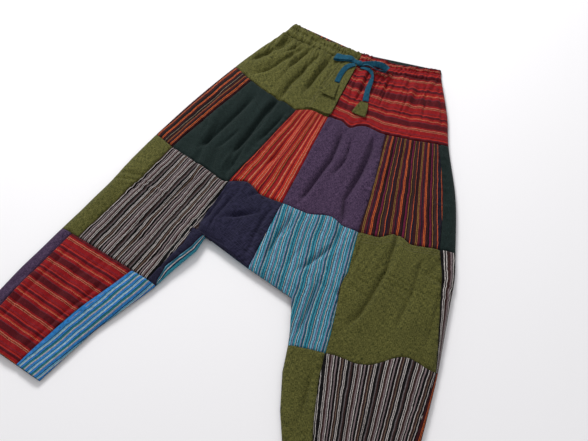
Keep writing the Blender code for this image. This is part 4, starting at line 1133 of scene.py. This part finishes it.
def new_group(name, inputs, outputs):
    """A shader node group with named float or vector sockets."""
    tree = bpy.data.node_groups.new(name, "ShaderNodeTree")
    for label, value in inputs.items():
        kind = "NodeSocketVector" if value is None else "NodeSocketFloat"
        socket = tree.interface.new_socket(name=label, in_out="INPUT", socket_type=kind)
        if value is not None:
            socket.default_value = value
    for label in outputs:
        tree.interface.new_socket(name=label, in_out="OUTPUT", socket_type="NodeSocketFloat")
    return tree, tree.nodes.new("NodeGroupInput"), tree.nodes.new("NodeGroupOutput")


def stretched_noise(tree, vector, stretch, scale, detail=2.0):
    """Noise drawn out along one direction of the cloth."""
    mapping = tree.nodes.new("ShaderNodeMapping")
    mapping.inputs["Scale"].default_value = stretch
    tree.links.new(vector, mapping.inputs["Vector"])
    noise = tree.nodes.new("ShaderNodeTexNoise")
    noise.inputs["Scale"].default_value = scale
    noise.inputs["Detail"].default_value = detail
    noise.inputs["Roughness"].default_value = 0.6
    tree.links.new(mapping.outputs["Vector"], noise.inputs["Vector"])
    return noise.outputs["Fac"]


def build_weave():
    """Crossed threads: their relief, and the uneven yarn that shows as flecks."""
    tree, given, result = new_group(
        "Cloth Weave", {"Place": None, "Threads": 900.0, "Slub": 1.0}, ("Relief", "Yarn"))
    place = given.outputs["Place"]
    split = tree.nodes.new("ShaderNodeSeparateXYZ")
    tree.links.new(place, split.inputs[0])
    waves = [math_node(tree, "SINE", math_node(
        tree, "MULTIPLY", split.outputs[i],
        math_node(tree, "MULTIPLY", given.outputs["Threads"], 2.0 * math.pi))) for i in (0, 1)]
    cross = math_node(tree, "MULTIPLY", *waves)
    warp = stretched_noise(tree, place, (9.0, 1.0, 1.0), 160.0)
    weft = stretched_noise(tree, place, (1.0, 9.0, 1.0), 160.0)
    flecks = math_node(tree, "ADD", warp, weft)
    centred = math_node(tree, "SUBTRACT", flecks, 1.0)
    yarn = math_node(tree, "ADD", math_node(
        tree, "MULTIPLY", math_node(tree, "MULTIPLY", centred, 2.6), given.outputs["Slub"]), 0.5)
    relief = math_node(tree, "ADD", math_node(tree, "MULTIPLY", cross, 0.5),
                       math_node(tree, "MULTIPLY", centred, 1.2))
    tree.links.new(relief, result.inputs["Relief"])
    tree.links.new(yarn, result.inputs["Yarn"])
    return tree


def build_wear():
    """Slow unevenness of a washed cloth, from 0 to 1."""
    tree, given, result = new_group("Washed Cloth", {"Place": None, "Size": 14.0}, ("Tone",))
    noise = tree.nodes.new("ShaderNodeTexNoise")
    noise.inputs["Detail"].default_value = 4.0
    tree.links.new(given.outputs["Place"], noise.inputs["Vector"])
    tree.links.new(given.outputs["Size"], noise.inputs["Scale"])
    tree.links.new(noise.outputs["Fac"], result.inputs["Tone"])
    return tree


def build_stripe_place():
    """Where a place falls within one repeat of the stripes, which waver a little."""
    tree, given, result = new_group(
        "Stripe Place", {"Place": None, "Down": 0.0, "Repeat": 0.06, "Waver": 0.0007}, ("Share",))
    place = given.outputs["Place"]
    split = tree.nodes.new("ShaderNodeSeparateXYZ")
    tree.links.new(place, split.inputs[0])
    mix = tree.nodes.new("ShaderNodeMix")
    tree.links.new(given.outputs["Down"], mix.inputs[0])
    tree.links.new(split.outputs[0], mix.inputs[2])
    tree.links.new(split.outputs[1], mix.inputs[3])
    noise = tree.nodes.new("ShaderNodeTexNoise")
    noise.inputs["Scale"].default_value = 30.0
    tree.links.new(place, noise.inputs["Vector"])
    waver = math_node(tree, "MULTIPLY", math_node(tree, "SUBTRACT", noise.outputs["Fac"], 0.5),
                      math_node(tree, "MULTIPLY", given.outputs["Waver"], 4.0))
    share = math_node(tree, "DIVIDE", math_node(tree, "ADD", mix.outputs[0], waver),
                      given.outputs["Repeat"])
    tree.links.new(math_node(tree, "FRACT", share), result.inputs["Share"])
    return tree


WEAVE = build_weave()
WASHED = build_wear()
STRIPE_PLACE = build_stripe_place()


def place_group(tree, group, place, **values):
    node = tree.nodes.new("ShaderNodeGroup")
    node.node_tree = group
    tree.links.new(place, node.inputs["Place"])
    for name, value in values.items():
        node.inputs[name].default_value = value
    return node


def cloth_material(name, roughness, colour_of):
    """A cloth whose colour comes from colour_of(tree, place, yarn)."""
    material = bpy.data.materials.new("cloth_" + name)
    material.use_nodes = True
    tree = material.node_tree
    shader = tree.nodes["Principled BSDF"]
    shader.inputs["Roughness"].default_value = roughness
    shader.inputs["Specular IOR Level"].default_value = 0.12
    shader.inputs["Sheen Weight"].default_value = 0.04
    shader.inputs["Sheen Roughness"].default_value = 0.5
    uv = tree.nodes.new("ShaderNodeUVMap")
    uv.uv_map = "Cloth"
    weave = place_group(tree, WEAVE, uv.outputs[0])
    washed = place_group(tree, WASHED, uv.outputs[0])
    colour = colour_of(tree, uv.outputs[0], weave.outputs["Yarn"])
    tone = tree.nodes.new("ShaderNodeMapRange")
    tone.inputs["To Min"].default_value = 0.78
    tone.inputs["To Max"].default_value = 1.18
    tree.links.new(washed.outputs["Tone"], tone.inputs["Value"])
    shade = tree.nodes.new("ShaderNodeVectorMath")
    shade.operation = "SCALE"
    tree.links.new(colour, shade.inputs[0])
    tree.links.new(tone.outputs[0], shade.inputs["Scale"])
    tree.links.new(shade.outputs[0], shader.inputs["Base Color"])
    bump = tree.nodes.new("ShaderNodeBump")
    bump.inputs["Distance"].default_value = 0.0005
    bump.inputs["Strength"].default_value = 0.6
    tree.links.new(weave.outputs["Relief"], bump.inputs["Height"])
    tree.links.new(bump.outputs["Normal"], shader.inputs["Normal"])
    return material


def mixed(tree, factor, first, second):
    """Colours mixed by a factor; each may be a colour or a socket."""
    mix = tree.nodes.new("ShaderNodeMix")
    mix.data_type = "RGBA"
    tree.links.new(factor, mix.inputs["Factor"])
    for socket, value in ((mix.inputs[6], first), (mix.inputs[7], second)):
        if isinstance(value, tuple):
            socket.default_value = (*value, 1.0)
        else:
            tree.links.new(value, socket)
    return mix.outputs[2]


def plain_material(name):
    plain = PLAINS[name]

    def colour_of(tree, place, yarn):
        spread = tree.nodes.new("ShaderNodeMapRange")
        spread.inputs["To Min"].default_value = 0.5 - plain.mix
        spread.inputs["To Max"].default_value = 0.5 + plain.mix
        tree.links.new(yarn, spread.inputs["Value"])
        return mixed(tree, spread.outputs[0], plain.dark, plain.light)

    return cloth_material(name, plain.roughness, colour_of)


def striped_material(name):
    stripes = STRIPES[name]
    repeat = sum(width for width, _ in stripes)

    def colour_of(tree, place, yarn):
        down = 1.0 if name in STRIPE_DOWN else 0.0
        share = place_group(tree, STRIPE_PLACE, place, Down=down, Repeat=repeat / 1000.0)
        ramp = tree.nodes.new("ShaderNodeValToRGB")
        ramp.color_ramp.interpolation = "CONSTANT"
        elements = ramp.color_ramp.elements
        at = 0.0
        for i, (width, yarn_name) in enumerate(stripes):
            element = elements[i] if i < 2 else elements.new(at / repeat)
            element.position = at / repeat
            element.color = (*YARNS[yarn_name], 1.0)
            at += width
        tree.links.new(share.outputs["Share"], ramp.inputs["Fac"])
        lit = tree.nodes.new("ShaderNodeMapRange")
        lit.inputs["To Min"].default_value = 0.6
        lit.inputs["To Max"].default_value = 1.4
        tree.links.new(yarn, lit.inputs["Value"])
        scale = tree.nodes.new("ShaderNodeVectorMath")
        scale.operation = "SCALE"
        tree.links.new(ramp.outputs["Color"], scale.inputs[0])
        tree.links.new(lit.outputs[0], scale.inputs["Scale"])
        return scale.outputs[0]

    return cloth_material(name, 0.88, colour_of)


MATERIALS = {name: plain_material(name) for name in PLAINS}
MATERIALS.update({name: striped_material(name) for name in STRIPES})


# The garment

for half in SECTIONS:
    make_band(half)
    make_yoke(half)
    for row in (1, 2, 3):
        make_row(half, row)
make_fly()
make_bow()
make_stitches()


# Floor, light and camera

def make_floor():
    mesh = bpy.data.meshes.new("floor")
    size, drop = 6.0, -0.0002
    mesh.from_pydata([(-size, -size, drop), (size, -size, drop), (size, size, drop),
                      (-size, size, drop)], [], [(0, 1, 2, 3)])
    material = bpy.data.materials.new("floor")
    material.use_nodes = True
    shader = material.node_tree.nodes["Principled BSDF"]
    shader.inputs["Base Color"].default_value = (*FLOOR, 1.0)
    shader.inputs["Roughness"].default_value = 0.9
    shader.inputs["Specular IOR Level"].default_value = 0.1
    mesh.materials.append(material)
    link("floor", mesh)


def make_light(name, place, aim, size, power):
    data = bpy.data.lights.new(name, "AREA")
    data.shape = "SQUARE"
    data.size = size
    data.energy = power
    light = bpy.data.objects.new(name, data)
    light.location = place
    direction = np.array(aim) - np.array(place)
    light.rotation_euler = look_along(direction)
    bpy.context.collection.objects.link(light)


def look_along(direction):
    """Turns that point a camera or light's -Z along a direction, with no roll."""
    x, y, z = direction
    return math.atan2(math.hypot(x, y), -z), 0.0, math.atan2(-x, y)


def make_camera():
    data = bpy.data.cameras.new("camera")
    data.lens = LENS
    data.sensor_width = 36.0
    data.sensor_fit = "HORIZONTAL"
    camera = bpy.data.objects.new("camera", data)
    azimuth, elevation = math.radians(AZIMUTH), math.radians(ELEVATION)
    back = np.array((math.sin(azimuth) * math.cos(elevation),
                     -math.cos(azimuth) * math.cos(elevation), math.sin(elevation)))
    aim = np.array((AIM_X + ORIGIN_X, ORIGIN_Y, 0.0))
    camera.location = aim + back * DISTANCE
    camera.rotation_euler = look_along(-back)
    bpy.context.collection.objects.link(camera)
    bpy.context.scene.camera = camera
    bpy.context.scene.view_settings.view_transform = "Standard"


def make_world():
    world = bpy.data.worlds.new("studio")
    world.use_nodes = True
    background = world.node_tree.nodes["Background"]
    background.inputs["Color"].default_value = (0.98, 0.98, 1.0, 1.0)
    background.inputs["Strength"].default_value = 0.5
    bpy.context.scene.world = world


make_floor()
make_light("softbox", (-1.3, 1.6, 1.5), (0.0, 0.0, 0.0), 0.8, 58.0)
make_light("fill", (1.4, -0.8, 1.8), (0.1, 0.0, 0.0), 2.0, 6.0)
make_world()
make_camera()
